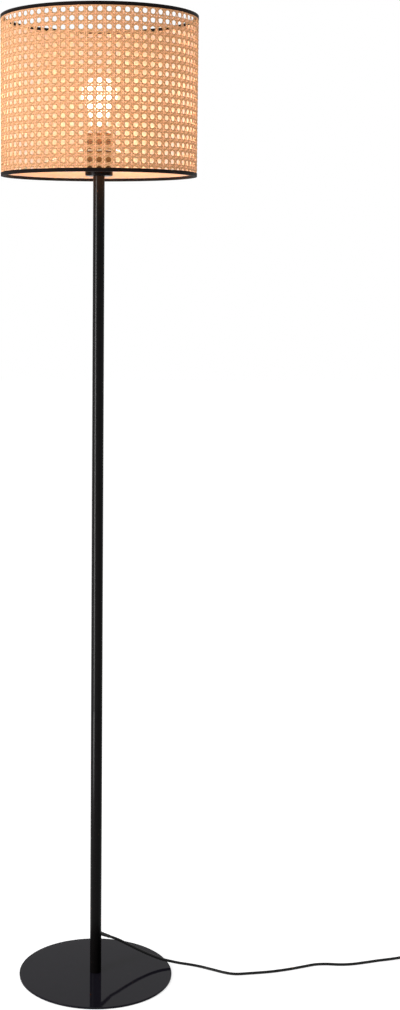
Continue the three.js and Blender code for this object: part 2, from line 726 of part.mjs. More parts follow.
function bulbStem() {
  const flare = capBore - FIT - GLASS_THICKNESS - FIT;
  return piece("bulb_stem", "clear_glass", revolve([
    [0, stemBottom],
    [flare, stemBottom],
    [flare, stemBottom + GLASS_THICKNESS],
    [STEM_DIAMETER / 2, stemBottom + STEM_FLARE_HEIGHT],
    [STEM_DIAMETER / 2, stemTop],
    [0, stemTop],
  ], SMALL_SIDES));
}

// The filament with its two leads, as one wire: up, across in an arch, and down.
const FILAMENT_ARCH_SHARE = 0.12; // of its span

function bulbFilament() {
  const foot = STEM_DIAMETER / 4;
  const left = new THREE.Vector3(-FILAMENT_SPAN / 2, 0, stemTop + FILAMENT_RISE);
  const points = [new THREE.Vector3(-foot, 0, stemTop + FIT), left];
  for (let step = 1; step < ARCH_STEPS; step++) {
    const along = step / ARCH_STEPS;
    const lift = Math.sin(along * Math.PI) * FILAMENT_ARCH_SHARE * FILAMENT_SPAN;
    points.push(left.clone().add(new THREE.Vector3(along * FILAMENT_SPAN, 0, lift)));
  }
  points.push(left.clone().setX(FILAMENT_SPAN / 2), new THREE.Vector3(foot, 0, stemTop + FIT));
  const wire = tube(points, FILAMENT_DIAMETER / 2, WIRE_SIDES, new THREE.Vector3(0, 1, 0));
  return piece("bulb_filament", "tungsten", wire);
}

function bulb() {
  return assembly([0, 0, bulbTip], bulbGlass(), bulbCap(), bulbContact(), bulbStem(), bulbFilament());
}

// Shade: a cane sheet, a wire ring and a black trim at each rim, and a fitting ring with three arms.

const topRadius = SHADE_TOP_DIAMETER / 2;
const bottomRadius = SHADE_BOTTOM_DIAMETER / 2;

// A plain grid of openings round the sheet, spread over its height between the trims.
function caneOpenings() {
  const low = shadeBottom + TRIM_HEIGHT + FIT;
  const high = LAMP_HEIGHT - TRIM_HEIGHT - FIT;
  const depth = CANE_THICKNESS + OVERRUN * 2;
  return Array.from({ length: CANE_OPENING_COLUMNS * CANE_OPENING_ROWS }, (_, i) => {
    const rise = (Math.floor(i / CANE_OPENING_COLUMNS) + 0.5) / CANE_OPENING_ROWS;
    const rim = THREE.MathUtils.lerp(bottomRadius, topRadius, rise);
    const opening = new THREE.BoxGeometry(depth, CANE_OPENING_WIDTH, CANE_OPENING_HEIGHT);
    opening.translate(rim - caneInset - CANE_THICKNESS / 2, 0, THREE.MathUtils.lerp(low, high, rise));
    return opening.rotateZ((i / CANE_OPENING_COLUMNS) * FULL_TURN);
  });
}

// The sheet stands upright inside each trim and slopes between them.
function caneSheet() {
  const outer = [
    [bottomRadius - caneInset, shadeBottom + TRIM_WALL + FIT],
    [bottomRadius - caneInset, shadeBottom + TRIM_HEIGHT + FIT],
    [topRadius - caneInset, LAMP_HEIGHT - TRIM_HEIGHT - FIT],
    [topRadius - caneInset, LAMP_HEIGHT - TRIM_WALL - FIT],
  ];
  const inner = outer.toReversed().map(([radius, height]) => [radius - CANE_THICKNESS, height]);
  const sheet = revolve([...outer, ...inner], RIM_SIDES);
  return piece("cane_shade", "cane", cut(sheet, ...caneOpenings()));
}

function rimWire(name, rimRadius, height) {
  const section = Array.from({ length: WIRE_SIDES }, (_, side) => {
    const angle = (side / WIRE_SIDES) * FULL_TURN;
    const radius = rimRadius - wireInset + (RIM_WIRE_DIAMETER / 2) * Math.cos(angle);
    return [radius, height + (RIM_WIRE_DIAMETER / 2) * Math.sin(angle)];
  });
  return piece(name, "satin_black", revolve(section, RIM_SIDES));
}

// A channel that folds over a rim. It opens upwards, or downwards where up is -1.
function rimTrim(rimRadius, height, up) {
  const inner = rimRadius - trimWidth;
  const [edge, floor] = [height + up * TRIM_HEIGHT, height + up * TRIM_WALL];
  return revolve([
    [rimRadius, height],
    [rimRadius, edge],
    [rimRadius - TRIM_WALL, edge],
    [rimRadius - TRIM_WALL, floor],
    [inner + TRIM_WALL, floor],
    [inner + TRIM_WALL, edge],
    [inner, edge],
    [inner, height],
  ], RIM_SIDES);
}

const armAngle = (i) => Math.PI / 2 + (i / ARM_COUNT) * FULL_TURN;

// The lower trim's inner wall is notched where the arms reach the wire ring.
function bottomTrim() {
  const width = ARM_DIAMETER + ARM_NOTCH_CLEARANCE * 2;
  const depth = TRIM_WALL + FIT * 2;
  const reach = bottomRadius - trimWidth + TRIM_WALL / 2;
  const middle = shadeBottom + TRIM_WALL + FIT + TRIM_HEIGHT / 2;
  const notches = Array.from({ length: ARM_COUNT }, (_, i) => {
    const notch = new THREE.BoxGeometry(depth, width, TRIM_HEIGHT);
    return notch.translate(reach, 0, middle).rotateZ(armAngle(i));
  });
  return piece("bottom_trim", "satin_black", cut(rimTrim(bottomRadius, shadeBottom, 1), ...notches));
}

function shadeFitter() {
  const outer = flangeRadius + FIT + FITTER_RIM;
  const [low, high] = [cupBottom + fitterBottom, cupBottom + fitterTop];
  const middle = (low + high) / 2;
  const start = new THREE.Vector3(flangeRadius + FIT, 0, middle);
  const wireHeight = shadeBottom + wireRise;
  const wireEdge = bottomRadius - wireInset - RIM_WIRE_DIAMETER / 2;
  const end = new THREE.Vector3(wireEdge - FIT, 0, wireHeight + ARM_DIAMETER / 4);
  const knee = new THREE.Vector3(outer + ARM_DIAMETER, 0, middle);
  const arms = Array.from({ length: ARM_COUNT }, (_, i) => {
    const arm = tube([start, knee, end], ARM_DIAMETER / 2, CORD_SIDES, new THREE.Vector3(0, 1, 0));
    return arm.rotateZ(armAngle(i));
  });
  const plate = ring(skirtRadius + FIT, outer, low, high, HOLDER_SIDES);
  return piece("shade_fitter", "white_enamel", join(plate, ...arms));
}

function shade() {
  return assembly([0, 0, 0],
    caneSheet(),
    rimWire("top_wire_ring", topRadius, LAMP_HEIGHT - wireRise),
    rimWire("bottom_wire_ring", bottomRadius, shadeBottom + wireRise),
    piece("top_trim", "satin_black", rimTrim(topRadius, LAMP_HEIGHT, -1)),
    bottomTrim(),
    shadeFitter());
}

// Foot switch, about its own centre on the floor. The cord's axis lies in the joint of its two shells.

const switchBaseBottom = SWITCH_PAD_THICKNESS + SEAT;
const switchJoint = switchBaseBottom + SWITCH_BASE_HEIGHT;
const switchFloor = switchBaseBottom + SWITCH_WALL;
const coverBottom = switchJoint + SEAT;
const coverTop = coverBottom + SWITCH_COVER_HEIGHT;
const coverRoof = coverTop - SWITCH_WALL;
const buttonLipTop = coverRoof - SEAT;
const buttonLipBottom = buttonLipTop - BUTTON_LIP;
const buttonTop = coverTop + BUTTON_RISE;
const contactTop = buttonLipBottom - BUTTON_TRAVEL - FIT;
const SCREW_REACH_SHARES = [0.31, 0.26]; // of the switch's length and width
const screwPlaces = [1, -1].map((side) => {
  return [side * SCREW_REACH_SHARES[0] * SWITCH_LENGTH, side * SCREW_REACH_SHARES[1] * SWITCH_WIDTH];
});

function switchOutline(inset) {
  return roundedOutline(SWITCH_LENGTH - inset * 2, SWITCH_WIDTH - inset * 2, SWITCH_CORNER - inset);
}

function upright(place, radius, bottom, top) {
  return rod(radius, bottom, top, SMALL_SIDES).translate(...place, 0);
}

// The hole through both end walls that the boots' necks sit in.
function bootHole() {
  const reach = SWITCH_LENGTH / 2 + OVERRUN;
  const hole = rod(BOOT_DIAMETER / 2 + FIT, -reach, reach, SMALL_SIDES);
  return hole.rotateY(Math.PI / 2).translate(0, 0, switchJoint);
}

function switchBase() {
  const tray = stack([
    { outline: switchOutline(0), z: switchBaseBottom },
    { outline: switchOutline(0), z: switchJoint },
  ]);
  const pocket = stack([
    { outline: switchOutline(SWITCH_WALL), z: switchFloor },
    { outline: switchOutline(SWITCH_WALL), z: switchJoint + OVERRUN },
  ]);
  const holes = screwPlaces.flatMap((place) => {
    const sink = switchBaseBottom + SWITCH_SCREW_HEAD_HEIGHT + SEAT;
    return [
      upright(place, SWITCH_SCREW_DIAMETER / 2 + FIT, switchBaseBottom - OVERRUN, switchFloor + OVERRUN),
      upright(place, SWITCH_SCREW_HEAD / 2 + FIT, switchBaseBottom - OVERRUN, sink),
    ];
  });
  return piece("switch_base", "black_plastic", cut(tray, pocket, bootHole(), ...holes));
}

function switchCover() {
  const shell = stack([
    { outline: switchOutline(0), z: coverBottom },
    { outline: switchOutline(0), z: coverTop - SWITCH_BEVEL },
    { outline: switchOutline(SWITCH_BEVEL / 4), z: coverTop - SWITCH_BEVEL / 4 },
    { outline: switchOutline(SWITCH_BEVEL), z: coverTop },
  ]);
  const pocket = stack([
    { outline: switchOutline(SWITCH_WALL), z: coverBottom - OVERRUN },
    { outline: switchOutline(SWITCH_WALL), z: coverRoof - SWITCH_BEVEL },
    { outline: switchOutline(SWITCH_WALL + SWITCH_BEVEL / 2), z: coverRoof },
  ]);
  const hole = rod(BUTTON_DIAMETER / 2 + FIT, coverRoof - OVERRUN, coverTop + OVERRUN, HOLDER_SIDES);
  const pilot = SWITCH_SCREW_DIAMETER / 2 + FIT;
  const post = pilot + SWITCH_POST_WALL;
  const pilotTop = coverRoof - SWITCH_WALL;
  const posts = screwPlaces.map((place) => upright(place, post, coverBottom, coverRoof + SEAT));
  const pilots = screwPlaces.map((place) => upright(place, pilot, coverBottom - OVERRUN, pilotTop));
  const open = cut(shell, pocket, bootHole(), hole);
  return piece("switch_cover", "black_plastic", cut(join(open, ...posts), ...pilots));
}

function switchScrew(name, place) {
  const shank = SWITCH_SCREW_DIAMETER / 2;
  const neck = switchBaseBottom + SWITCH_SCREW_HEAD_HEIGHT;
  const tip = coverRoof - SWITCH_WALL - FIT;
  return piece(name, "steel", revolve([
    [0, switchBaseBottom],
    [SWITCH_SCREW_HEAD / 2, switchBaseBottom],
    [SWITCH_SCREW_HEAD / 2, neck],
    [shank, neck],
    [shank, tip],
    [0, tip],
  ], SMALL_SIDES).translate(...place, 0));
}

function switchButton() {
  const radius = BUTTON_DIAMETER / 2;
  return piece("switch_button", "gloss_black", revolve([
    [radius - BUTTON_WALL, buttonLipBottom],
    [radius + BUTTON_LIP, buttonLipBottom],
    [radius + BUTTON_LIP, buttonLipTop],
    [radius, buttonLipTop],
    [radius, buttonTop - BUTTON_CROWN],
    [radius - BUTTON_CROWN, buttonTop - BUTTON_CROWN / 4],
    [0, buttonTop],
    [0, buttonTop - BUTTON_WALL],
    [radius - BUTTON_WALL, buttonTop - BUTTON_WALL],
  ], HOLDER_SIDES));
}

function switchSpring() {
  const bottom = contactTop + FIT + SPRING_WIRE / 2;
  const top = buttonTop - BUTTON_WALL - FIT - SPRING_WIRE / 2;
  const radius = (SPRING_DIAMETER - SPRING_WIRE) / 2;
  const steps = SPRING_CURLS * CURL_STEPS;
  const points = Array.from({ length: steps + 1 }, (_, step) => {
    const angle = (step / CURL_STEPS) * FULL_TURN;
    const height = bottom + (step / steps) * (top - bottom);
    return new THREE.Vector3(radius * Math.cos(angle), radius * Math.sin(angle), height);
  });
  const wire = tube(points, SPRING_WIRE / 2, CURL_SIDES, new THREE.Vector3(1, 0, 0));
  return piece("switch_spring", "steel", wire);
}

function contactBlock() {
  const height = contactTop - switchFloor - SEAT;
  const block = new THREE.BoxGeometry(CONTACT_BLOCK_LENGTH, CONTACT_BLOCK_WIDTH, height);
  return piece("switch_contact_block", "ceramic", block.translate(0, 0, contactTop - height / 2));
}

// A moulded boot that is held in the end wall by a flange inside it.
function switchBoot(name, side) {
  const root = SWITCH_LENGTH / 2;
  const tail = SWITCH_WALL + FIT + BOOT_FLANGE;
  const neck = taperedSleeve(tail, BOOT_LENGTH, BOOT_DIAMETER, BOOT_TIP_DIAMETER);
  const flangeReach = switchJoint - switchFloor - FIT;
  const flange = rod(flangeReach, 0, BOOT_FLANGE, SMALL_SIDES).rotateY(Math.PI / 2);
  const boot = join(neck, flange.translate(-tail, 0, 0)).translate(root, 0, switchJoint);
  return piece(name, "rubber", side > 0 ? boot : boot.rotateZ(Math.PI));
}

function switchPad() {
  return piece("switch_pad", "rubber", stack([
    { outline: switchOutline(SWITCH_PAD_INSET), z: 0 },
    { outline: switchOutline(SWITCH_PAD_INSET), z: SWITCH_PAD_THICKNESS },
  ]));
}

function footSwitch() {
  return assembly([SWITCH_X, SWITCH_Y, 0], switchPad(), switchBase(), switchCover(), switchButton(),
    switchSpring(), contactBlock(), switchBoot("switch_boot_in", -1), switchBoot("switch_boot_out", 1),
    ...screwPlaces.map((place, i) => switchScrew(`switch_screw_${i + 1}`, place)));
}

// Cord. Its free stretches run through points chosen by hand, the spare length is wound in a coil.

const coilHeight = cordRadius + COIL_FLOOR_GAP;
const coilInner = COIL_MIDDLE_DIAMETER / 2 - (COIL_LOOPS / 4) * COIL_PITCH;
const REVERSAL_SHARE = 0.15; // of a turn, over which the spiral eases from in to out

// The coil's centre line: clockwise, in on the lower layer, up in half a turn, out on the upper.
function coilPoint(turn) {
  const past = turn - COIL_LOOPS / 2;
  const radius = coilInner + COIL_PITCH * Math.hypot(past, REVERSAL_SHARE);
  const climb = THREE.MathUtils.smoothstep(past, -1 / 4, 1 / 4);
  const angle = -turn * FULL_TURN;
  const height = coilHeight + climb * COIL_PITCH;
  return new THREE.Vector3(radius * Math.cos(angle), radius * Math.sin(angle), height);
}

const coilSteps = COIL_LOOPS * LOOP_STEPS;
const coilTurns = Array.from({ length: coilSteps + 1 }, (_, i) => coilPoint(i / LOOP_STEPS));
const coilStart = coilTurns[0].clone().sub(coilTurns[1]).setZ(0).normalize();
const coilEnd = coilTurns.at(-1).clone().sub(coilTurns.at(-2)).setZ(0).normalize();
const coilPoints = [
  coilTurns[0].clone().addScaledVector(coilStart, CORD_DIAMETER),
  ...coilTurns,
  coilTurns.at(-1).clone().addScaledVector(coilEnd, CORD_DIAMETER),
];

function leastGap(points) {
  let least = Infinity;
  points.forEach((point, i) => {
    for (let j = i + LOOP_STEPS / 2; j < points.length; j++) {
      least = Math.min(least, point.distanceTo(points[j]) - CORD_DIAMETER);
    }
  });
  return least;
}
console.log(`the coil's least gap to itself: ${leastGap(coilPoints).toFixed(2)} mm`);

const toPoints = (rows) => rows.map((row) => new THREE.Vector3(...row));
const outOfCoil = (end, direction) => {
  const shift = new THREE.Vector3(COIL_X, COIL_Y, 0);
  return end.clone().addScaledVector(direction, FIT).add(shift);
};

// From the bushing down to the floor, across it in loose bends, and up to the foot switch.
const LEAD_POINTS = [
  [35, 20, 46.7], [47, 22.5, 39.9], [67, 24.5, 28.9], [87.5, 25, 19.4], [104, 24, 13.6], [118, 23, 10.6],
  [133, 22.5, 7.7], [150, 22.4, 5.2], [167, 19.8, 3.2], [185.5, 11.2, 2.4], [204.5, 0.6, 2.4], [221, -4, 2.4],
  [245, -1, 2.4], [277, 4.6, 2.4], [307, 13.6, 2.4], [329, 22.2, 2.4], [350, 30.4, 2.4], [369, 32.4, 2.4],
  [391, 30.8, 2.4], [412, 33, 2.4], [433, 39, 2.4], [455, 46, 2.4], [474, 50, 2.9], [490, 51.8, 4.6],
];
// From the foot switch round to the coil.
const LINK_POINTS = [
  [649, 50.6, 7.2], [658, 46.2, 6], [665.6, 39, 4.6], [670.6, 29.5, 3.5], [672.8, 18, 3], [673, 5, 2.9],
  [672.8, -7, 2.9],
];
// From the coil round to the plug.
const TAIL_POINTS = [
  [672.7, -34, 7.7], [671, -44, 7.5], [665.8, -54, 7.3], [657, -61.5, 7.1], [647, -65.4, 6.95],
  [640, -66.3, 6.9],
];

function cordLead() {
  const tip = exitPoint.clone().addScaledVector(exitDirection, BUSHING_LENGTH + FIT);
  const bootX = SWITCH_X - SWITCH_LENGTH / 2 - BOOT_LENGTH - FIT;
  const bootTip = new THREE.Vector3(bootX, SWITCH_Y, switchJoint);
  const straight = (point, direction) => point.clone().addScaledVector(direction, CORD_DIAMETER);
  const back = new THREE.Vector3(-1, 0, 0);
  const ends = [[tip, straight(tip, exitDirection)], [straight(bootTip, back), bootTip]];
  return piece("cord_lead", "black_cord", cordAlong([...ends[0], ...toPoints(LEAD_POINTS), ...ends[1]]));
}

function cordLink() {
  const bootX = SWITCH_X + SWITCH_LENGTH / 2 + BOOT_LENGTH + FIT;
  const start = new THREE.Vector3(bootX, SWITCH_Y, switchJoint);
  const next = start.clone().setX(start.x + CORD_DIAMETER);
  const end = outOfCoil(coilPoints[0], coilStart);
  const last = end.clone().addScaledVector(coilStart, CORD_DIAMETER);
  return piece("cord_link", "black_cord", cordAlong([start, next, ...toPoints(LINK_POINTS), last, end]));
}

function cordTail() {
  const start = outOfCoil(coilPoints.at(-1), coilEnd);
  const next = start.clone().addScaledVector(coilEnd, CORD_DIAMETER);
  const end = new THREE.Vector3(PLUG_X + PLUG_BOOT_LENGTH + FIT, PLUG_Y, PLUG_THICKNESS / 2);
  const last = end.clone().setX(end.x + CORD_DIAMETER);
  return piece("cord_tail", "black_cord", cordAlong([start, next, ...toPoints(TAIL_POINTS), last, end]));
}

// A strap round the bundle of turns, on the side away from the leads.
function coilTie() {
  const gap = FIT + TIE_THICKNESS;
  const width = (COIL_LOOPS / 2) * COIL_PITCH + CORD_DIAMETER + gap * 2;
  const height = COIL_PITCH + CORD_DIAMETER + gap * 2;
  const outline = (inset) => roundedOutline(width - inset * 2, height - inset * 2, TIE_CORNER - inset);
  const shape = new THREE.Shape(outline(0));
  shape.holes.push(new THREE.Path(outline(TIE_THICKNESS)));
  const strap = new THREE.ExtrudeGeometry(shape, { depth: TIE_WIDTH, bevelEnabled: false });
  strap.translate(-COIL_MIDDLE_DIAMETER / 2, 0, -TIE_WIDTH / 2).rotateX(Math.PI / 2);
  return piece("coil_tie", "rubber", strap.translate(0, 0, height / 2));
}

function coil() {
  const turns = tube(coilPoints, cordRadius, WIRE_SIDES, new THREE.Vector3(1, 0, 0));
  return assembly([COIL_X, COIL_Y, 0], piece("cord_coil", "black_cord", turns), coilTie());
}

// Plug, from the boot's root at x = 0 towards -x, lying flat.
const PLUG_SHOULDER_SHARE = 0.45; // of its length, where its sides start to draw in

function plugBody() {
  const [half, neck] = [PLUG_WIDTH / 2 - PLUG_BEVEL, PLUG_NECK_WIDTH / 2 - PLUG_BEVEL];
  const [face, root] = [-PLUG_LENGTH + PLUG_BEVEL, -PLUG_BEVEL];
  const shoulder = -PLUG_LENGTH * PLUG_SHOULDER_SHARE;
  const side = [[root, neck], [shoulder, half], [face, half]];
  const corners = [...side, ...side.toReversed().map(([x, y]) => [x, -y])];
  const outline = new THREE.Shape(corners.map(([x, y]) => new THREE.Vector2(x, y)));
  const body = new THREE.ExtrudeGeometry(outline, {
    depth: PLUG_THICKNESS - PLUG_BEVEL * 2,
    bevelThickness: PLUG_BEVEL,
    bevelSize: PLUG_BEVEL,
    bevelSegments: 2,
  });
  body.translate(0, 0, PLUG_BEVEL);
  return piece("plug_body", "black_plastic", cut(body, plugPin(1, FIT), plugPin(-1, FIT)));
}

function plugPin(side, clearance) {
  const [root, tip] = [PIN_ROOT + clearance, PIN_LENGTH];
  const radius = PIN_DIAMETER / 2 + clearance;
  const pin = revolve([
    [0, -root],
    [radius, -root],
    [radius, tip - PIN_DIAMETER / 4],
    [radius - PIN_DIAMETER / 4, tip],
    [0, tip],
  ], SMALL_SIDES).rotateY(-Math.PI / 2);
  return pin.translate(-PLUG_LENGTH, (side * PIN_SPACING) / 2, PLUG_THICKNESS / 2);
}

function plug() {
  const boot = taperedSleeve(0, PLUG_BOOT_LENGTH - FIT, PLUG_BOOT_DIAMETER, BOOT_TIP_DIAMETER);
  boot.translate(FIT, 0, PLUG_THICKNESS / 2);
  const pins = [1, -1].map((side, i) => piece(`plug_pin_${i + 1}`, "brass", plugPin(side, 0)));
  return assembly([PLUG_X, PLUG_Y, 0], plugBody(), piece("plug_boot", "rubber", boot), ...pins);
}

const group = new THREE.Group();
group.add(
  basePad(), basePlate(), baseScrew(),
  footPlug(), ...poleTubes(), ...couplers(), headPlug(),
  cordBushing(), innerCord(), ...innerWires(),
  lampholder(), bulb(), shade(),
  cordLead(), footSwitch(), cordLink(), coil(), cordTail(), plug(),
);
export default group;
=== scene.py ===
from math import cos, hypot, pi, radians, sin

import bpy
import numpy as np
from mathutils import Matrix, Vector


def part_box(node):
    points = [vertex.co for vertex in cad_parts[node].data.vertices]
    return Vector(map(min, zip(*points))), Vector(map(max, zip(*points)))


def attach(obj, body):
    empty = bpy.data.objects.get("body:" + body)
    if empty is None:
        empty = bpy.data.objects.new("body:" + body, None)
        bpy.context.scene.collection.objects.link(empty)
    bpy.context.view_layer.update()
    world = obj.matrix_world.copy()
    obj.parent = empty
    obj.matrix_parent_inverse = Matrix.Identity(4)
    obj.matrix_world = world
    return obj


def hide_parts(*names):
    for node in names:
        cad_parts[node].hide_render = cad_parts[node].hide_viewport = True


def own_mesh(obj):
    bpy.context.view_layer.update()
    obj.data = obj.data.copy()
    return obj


# A floor lamp with a drum shade of cane webbing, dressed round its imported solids.
# The lamp's sizes are written in millimetres and turned into metres by MM. The camera, the lights
# and the finishes are in metres.
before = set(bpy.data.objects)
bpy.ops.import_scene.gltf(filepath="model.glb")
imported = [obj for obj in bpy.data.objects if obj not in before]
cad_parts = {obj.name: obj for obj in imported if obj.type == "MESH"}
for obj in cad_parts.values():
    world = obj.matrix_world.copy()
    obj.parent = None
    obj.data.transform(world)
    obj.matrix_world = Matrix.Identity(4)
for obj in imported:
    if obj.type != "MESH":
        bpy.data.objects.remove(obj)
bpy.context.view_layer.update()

MM = 0.001
FULL_TURN = 2 * pi
FRONT = -pi / 2  # the azimuth of the side that faces the camera


def mm(*values):
    return Vector(values) * MM


def placed(name, data):
    """A new object in the scene."""
    made = bpy.data.objects.new(name, data)
    bpy.context.scene.collection.objects.link(made)
    return made


# Camera, worked out from the pole, the base and both rims of the shade

IMAGE_WIDTH, IMAGE_HEIGHT = 400, 1010
FOCAL_PIXELS = 1566.6
PRINCIPAL_POINT = (107.73, 328.54)
CAMERA_PLACE = (0.01464, -2.42714, 1.1295)
CAMERA_PITCH = 0.04489  # below level, in radians
CAMERA_ROLL = 0.00456
SENSOR = 36


def make_camera():
    data = bpy.data.cameras.new("camera")
    data.sensor_fit = "VERTICAL"
    data.sensor_height = SENSOR
    data.lens = FOCAL_PIXELS * SENSOR / IMAGE_HEIGHT
    data.shift_x = (IMAGE_WIDTH / 2 - PRINCIPAL_POINT[0]) / IMAGE_HEIGHT
    data.shift_y = (PRINCIPAL_POINT[1] - IMAGE_HEIGHT / 2) / IMAGE_HEIGHT
    camera = placed("camera", data)
    tilt = Matrix.Rotation(pi / 2 - CAMERA_PITCH, 4, "X") @ Matrix.Rotation(CAMERA_ROLL, 4, "Z")
    camera.matrix_world = Matrix.Translation(CAMERA_PLACE) @ tilt
    bpy.context.scene.camera = camera


make_camera()


# Nodes and materials

def put(tree, kind, inputs=None, **settings):
    """A node with its settings made and its inputs set or linked."""
    made = tree.nodes.new(kind)
    for name, value in settings.items():
        setattr(made, name, value)
    for socket, value in (inputs or {}).items():
        feed(tree, made.inputs[socket], value)
    return made


def feed(tree, socket, value):
    """Links a value that is another node's output, and sets any other."""
    if isinstance(value, bpy.types.NodeSocket):
        tree.links.new(value, socket)
    else:
        socket.default_value = value


def calc(tree, operation, *values):
    return put(tree, "ShaderNodeMath", dict(enumerate(values)), operation=operation).outputs[0]


def blended(tree, factor, first, second):
    """A colour between two others."""
    made = put(tree, "ShaderNodeMix", {"Factor": factor}, data_type="RGBA")
    for socket, value in (("A", first), ("B", second)):
        feed(tree, next(s for s in made.inputs if s.name == socket and s.type == "RGBA"), value)
    return next(s for s in made.outputs if s.type == "RGBA")


SOCKETS = {"colour": "NodeSocketColor", "value": "NodeSocketFloat", "vector": "NodeSocketVector"}
SURFACE = {"Colour": "colour", "Roughness": "value", "Height": "value"}


def effect(name, inputs, outputs):
    """An empty group with its named inputs and outputs."""
    tree = bpy.data.node_groups.new(name, "ShaderNodeTree")
    for label, kind in inputs.items():
        tree.interface.new_socket(label, in_out="INPUT", socket_type=SOCKETS[kind])
    for label, kind in outputs.items():
        tree.interface.new_socket(label, in_out="OUTPUT", socket_type=SOCKETS[kind])
    return tree, tree.nodes.new("NodeGroupInput").outputs, tree.nodes.new("NodeGroupOutput").inputs


def ramp(tree, value, low, high):
    """0 up to low, 1 from high on, and a straight rise between them."""
    return put(tree, "ShaderNodeMapRange", {0: value, 1: low, 2: high}).outputs[0]


def times(tree, vector, scale):
    """A place or a colour, multiplied part by part."""
    return put(tree, "ShaderNodeVectorMath", {0: vector, 1: scale}, operation="MULTIPLY").outputs[0]


def noise(tree, vector, scale, detail=2.0, rough=0.5):
    inputs = {"Vector": vector, "Scale": scale, "Detail": detail, "Roughness": rough}
    return put(tree, "ShaderNodeTexNoise", inputs).outputs["Fac"]


def object_place(tree):
    return put(tree, "ShaderNodeTexCoord").outputs["Object"]


def around(tree, level, spread, *swings):
    """A level that each swing, a value about a half, moves by up to half the spread."""
    for swing in swings:
        level = calc(tree, "MULTIPLY_ADD", calc(tree, "SUBTRACT", swing, 0.5), spread, level)
    return level


def skin_effect():
    """Paint, moulded plastic, rubber and ceramic: a faint mottle under a fine grain."""
    inputs = {"Colour": "colour", "Tint": "colour", "Mottle Scale": "value", "Grain Scale": "value",
              "Roughness": "value", "Spread": "value"}
    tree, given, out = effect("skin", inputs, SURFACE)
    place = object_place(tree)
    mottle = noise(tree, place, given["Mottle Scale"], detail=4.0)
    grain = noise(tree, place, given["Grain Scale"])
    tree.links.new(blended(tree, mottle, given["Colour"], given["Tint"]), out["Colour"])
    tree.links.new(around(tree, given["Roughness"], given["Spread"], mottle, grain), out["Roughness"])
    tree.links.new(grain, out["Height"])
    return tree


def drawn_metal_effect():
    """Turned or drawn metal: streaks that are long one way and fine across it."""
    inputs = {"Colour": "colour", "Tint": "colour", "Stretch": "vector", "Roughness": "value",
              "Spread": "value"}
    tree, given, out = effect("drawn_metal", inputs, SURFACE)
    streak = noise(tree, times(tree, object_place(tree), given["Stretch"]), 1.0, detail=3.0, rough=0.6)
    tree.links.new(blended(tree, streak, given["Colour"], given["Tint"]), out["Colour"])
    tree.links.new(around(tree, given["Roughness"], given["Spread"], streak), out["Roughness"])
    tree.links.new(streak, out["Height"])
    return tree


# The cane's markings: how often each comes along a strand and across it
MARKINGS = {
    "fibre": (60.0, 22.0, 1.0),
    "tone": (3.0, 0.7, 1.0),
    "patch": (11.0, 1.3, 1.0),
    "nick": (90.0, 2.0, 1.0),
}
FIBRE_SHARE, NICK_SHARE, NICK_COLOUR = 0.22, 0.55, (0.16, 0.075, 0.03, 1)
STRAND_MAP, DIP = "strand", "dip"
BULB_CENTRE = (0, 0, 1.38065)
TAPE_WEAR = 140.0  # worn patches per metre


def cane_effect():
    """Cane strands: long fibres, slow changes of tone along a strand, dark nicks and painted shade on edges.

    A strand also has painted shade where it dips under the next one. Inner Edge says how dark the
    painted shade on its second edge is, and is 1 where both are as dark.
    """
    inputs = {"Pale": "colour", "Tan": "colour", "Olive": "colour", "Olive Share": "value",
              "Edge": "colour", "Edge Share": "value", "Inner Edge": "value", "Dip Share": "value"}
    tree, given, out = effect("cane_strand", inputs, SURFACE)
    strand = put(tree, "ShaderNodeUVMap", uv_map=STRAND_MAP).outputs[0]
    shades = {name: noise(tree, times(tree, strand, often), 1.0, detail=3.0, rough=0.6)
              for name, often in MARKINGS.items()}
    colour = blended(tree, ramp(tree, shades["tone"], 0.35, 0.65), given["Pale"], given["Tan"])
    olive = calc(tree, "MULTIPLY", ramp(tree, shades["patch"], 0.45, 0.7), given["Olive Share"])
    colour = blended(tree, olive, colour, given["Olive"])
    fine = calc(tree, "MULTIPLY", ramp(tree, shades["fibre"], 0.4, 0.75), FIBRE_SHARE)
    colour = blended(tree, fine, colour, given["Olive"])
    nick = ramp(tree, shades["nick"], 0.70, 0.78)
    colour = blended(tree, calc(tree, "MULTIPLY", nick, NICK_SHARE), colour, NICK_COLOUR)

    # Painted shade along the strand's edges that border the holes, and where it dips under another strand
    across = calc(tree, "FRACT", put(tree, "ShaderNodeSeparateXYZ", {0: strand}).outputs["Y"])
    off_middle = calc(tree, "MULTIPLY", calc(tree, "ABSOLUTE", calc(tree, "SUBTRACT", across, 0.5)), 2.0)
    outward = calc(tree, "MAXIMUM", calc(tree, "MULTIPLY", off_middle, given["Inner Edge"]), across)
    edge = calc(tree, "MULTIPLY", ramp(tree, outward, 0.5, 0.8), given["Edge Share"])
    depth = put(tree, "ShaderNodeAttribute", attribute_name=DIP).outputs["Fac"]
    dip = calc(tree, "MULTIPLY", ramp(tree, depth, 0.6, 1.1), given["Dip Share"])
    colour = blended(tree, calc(tree, "MAXIMUM", edge, dip), colour, given["Edge"])

    tree.links.new(colour, out["Colour"])
    tree.links.new(around(tree, 0.48, 0.3, shades["fibre"]), out["Roughness"])
    tree.links.new(calc(tree, "SUBTRACT", shades["fibre"], nick), out["Height"])
    return tree


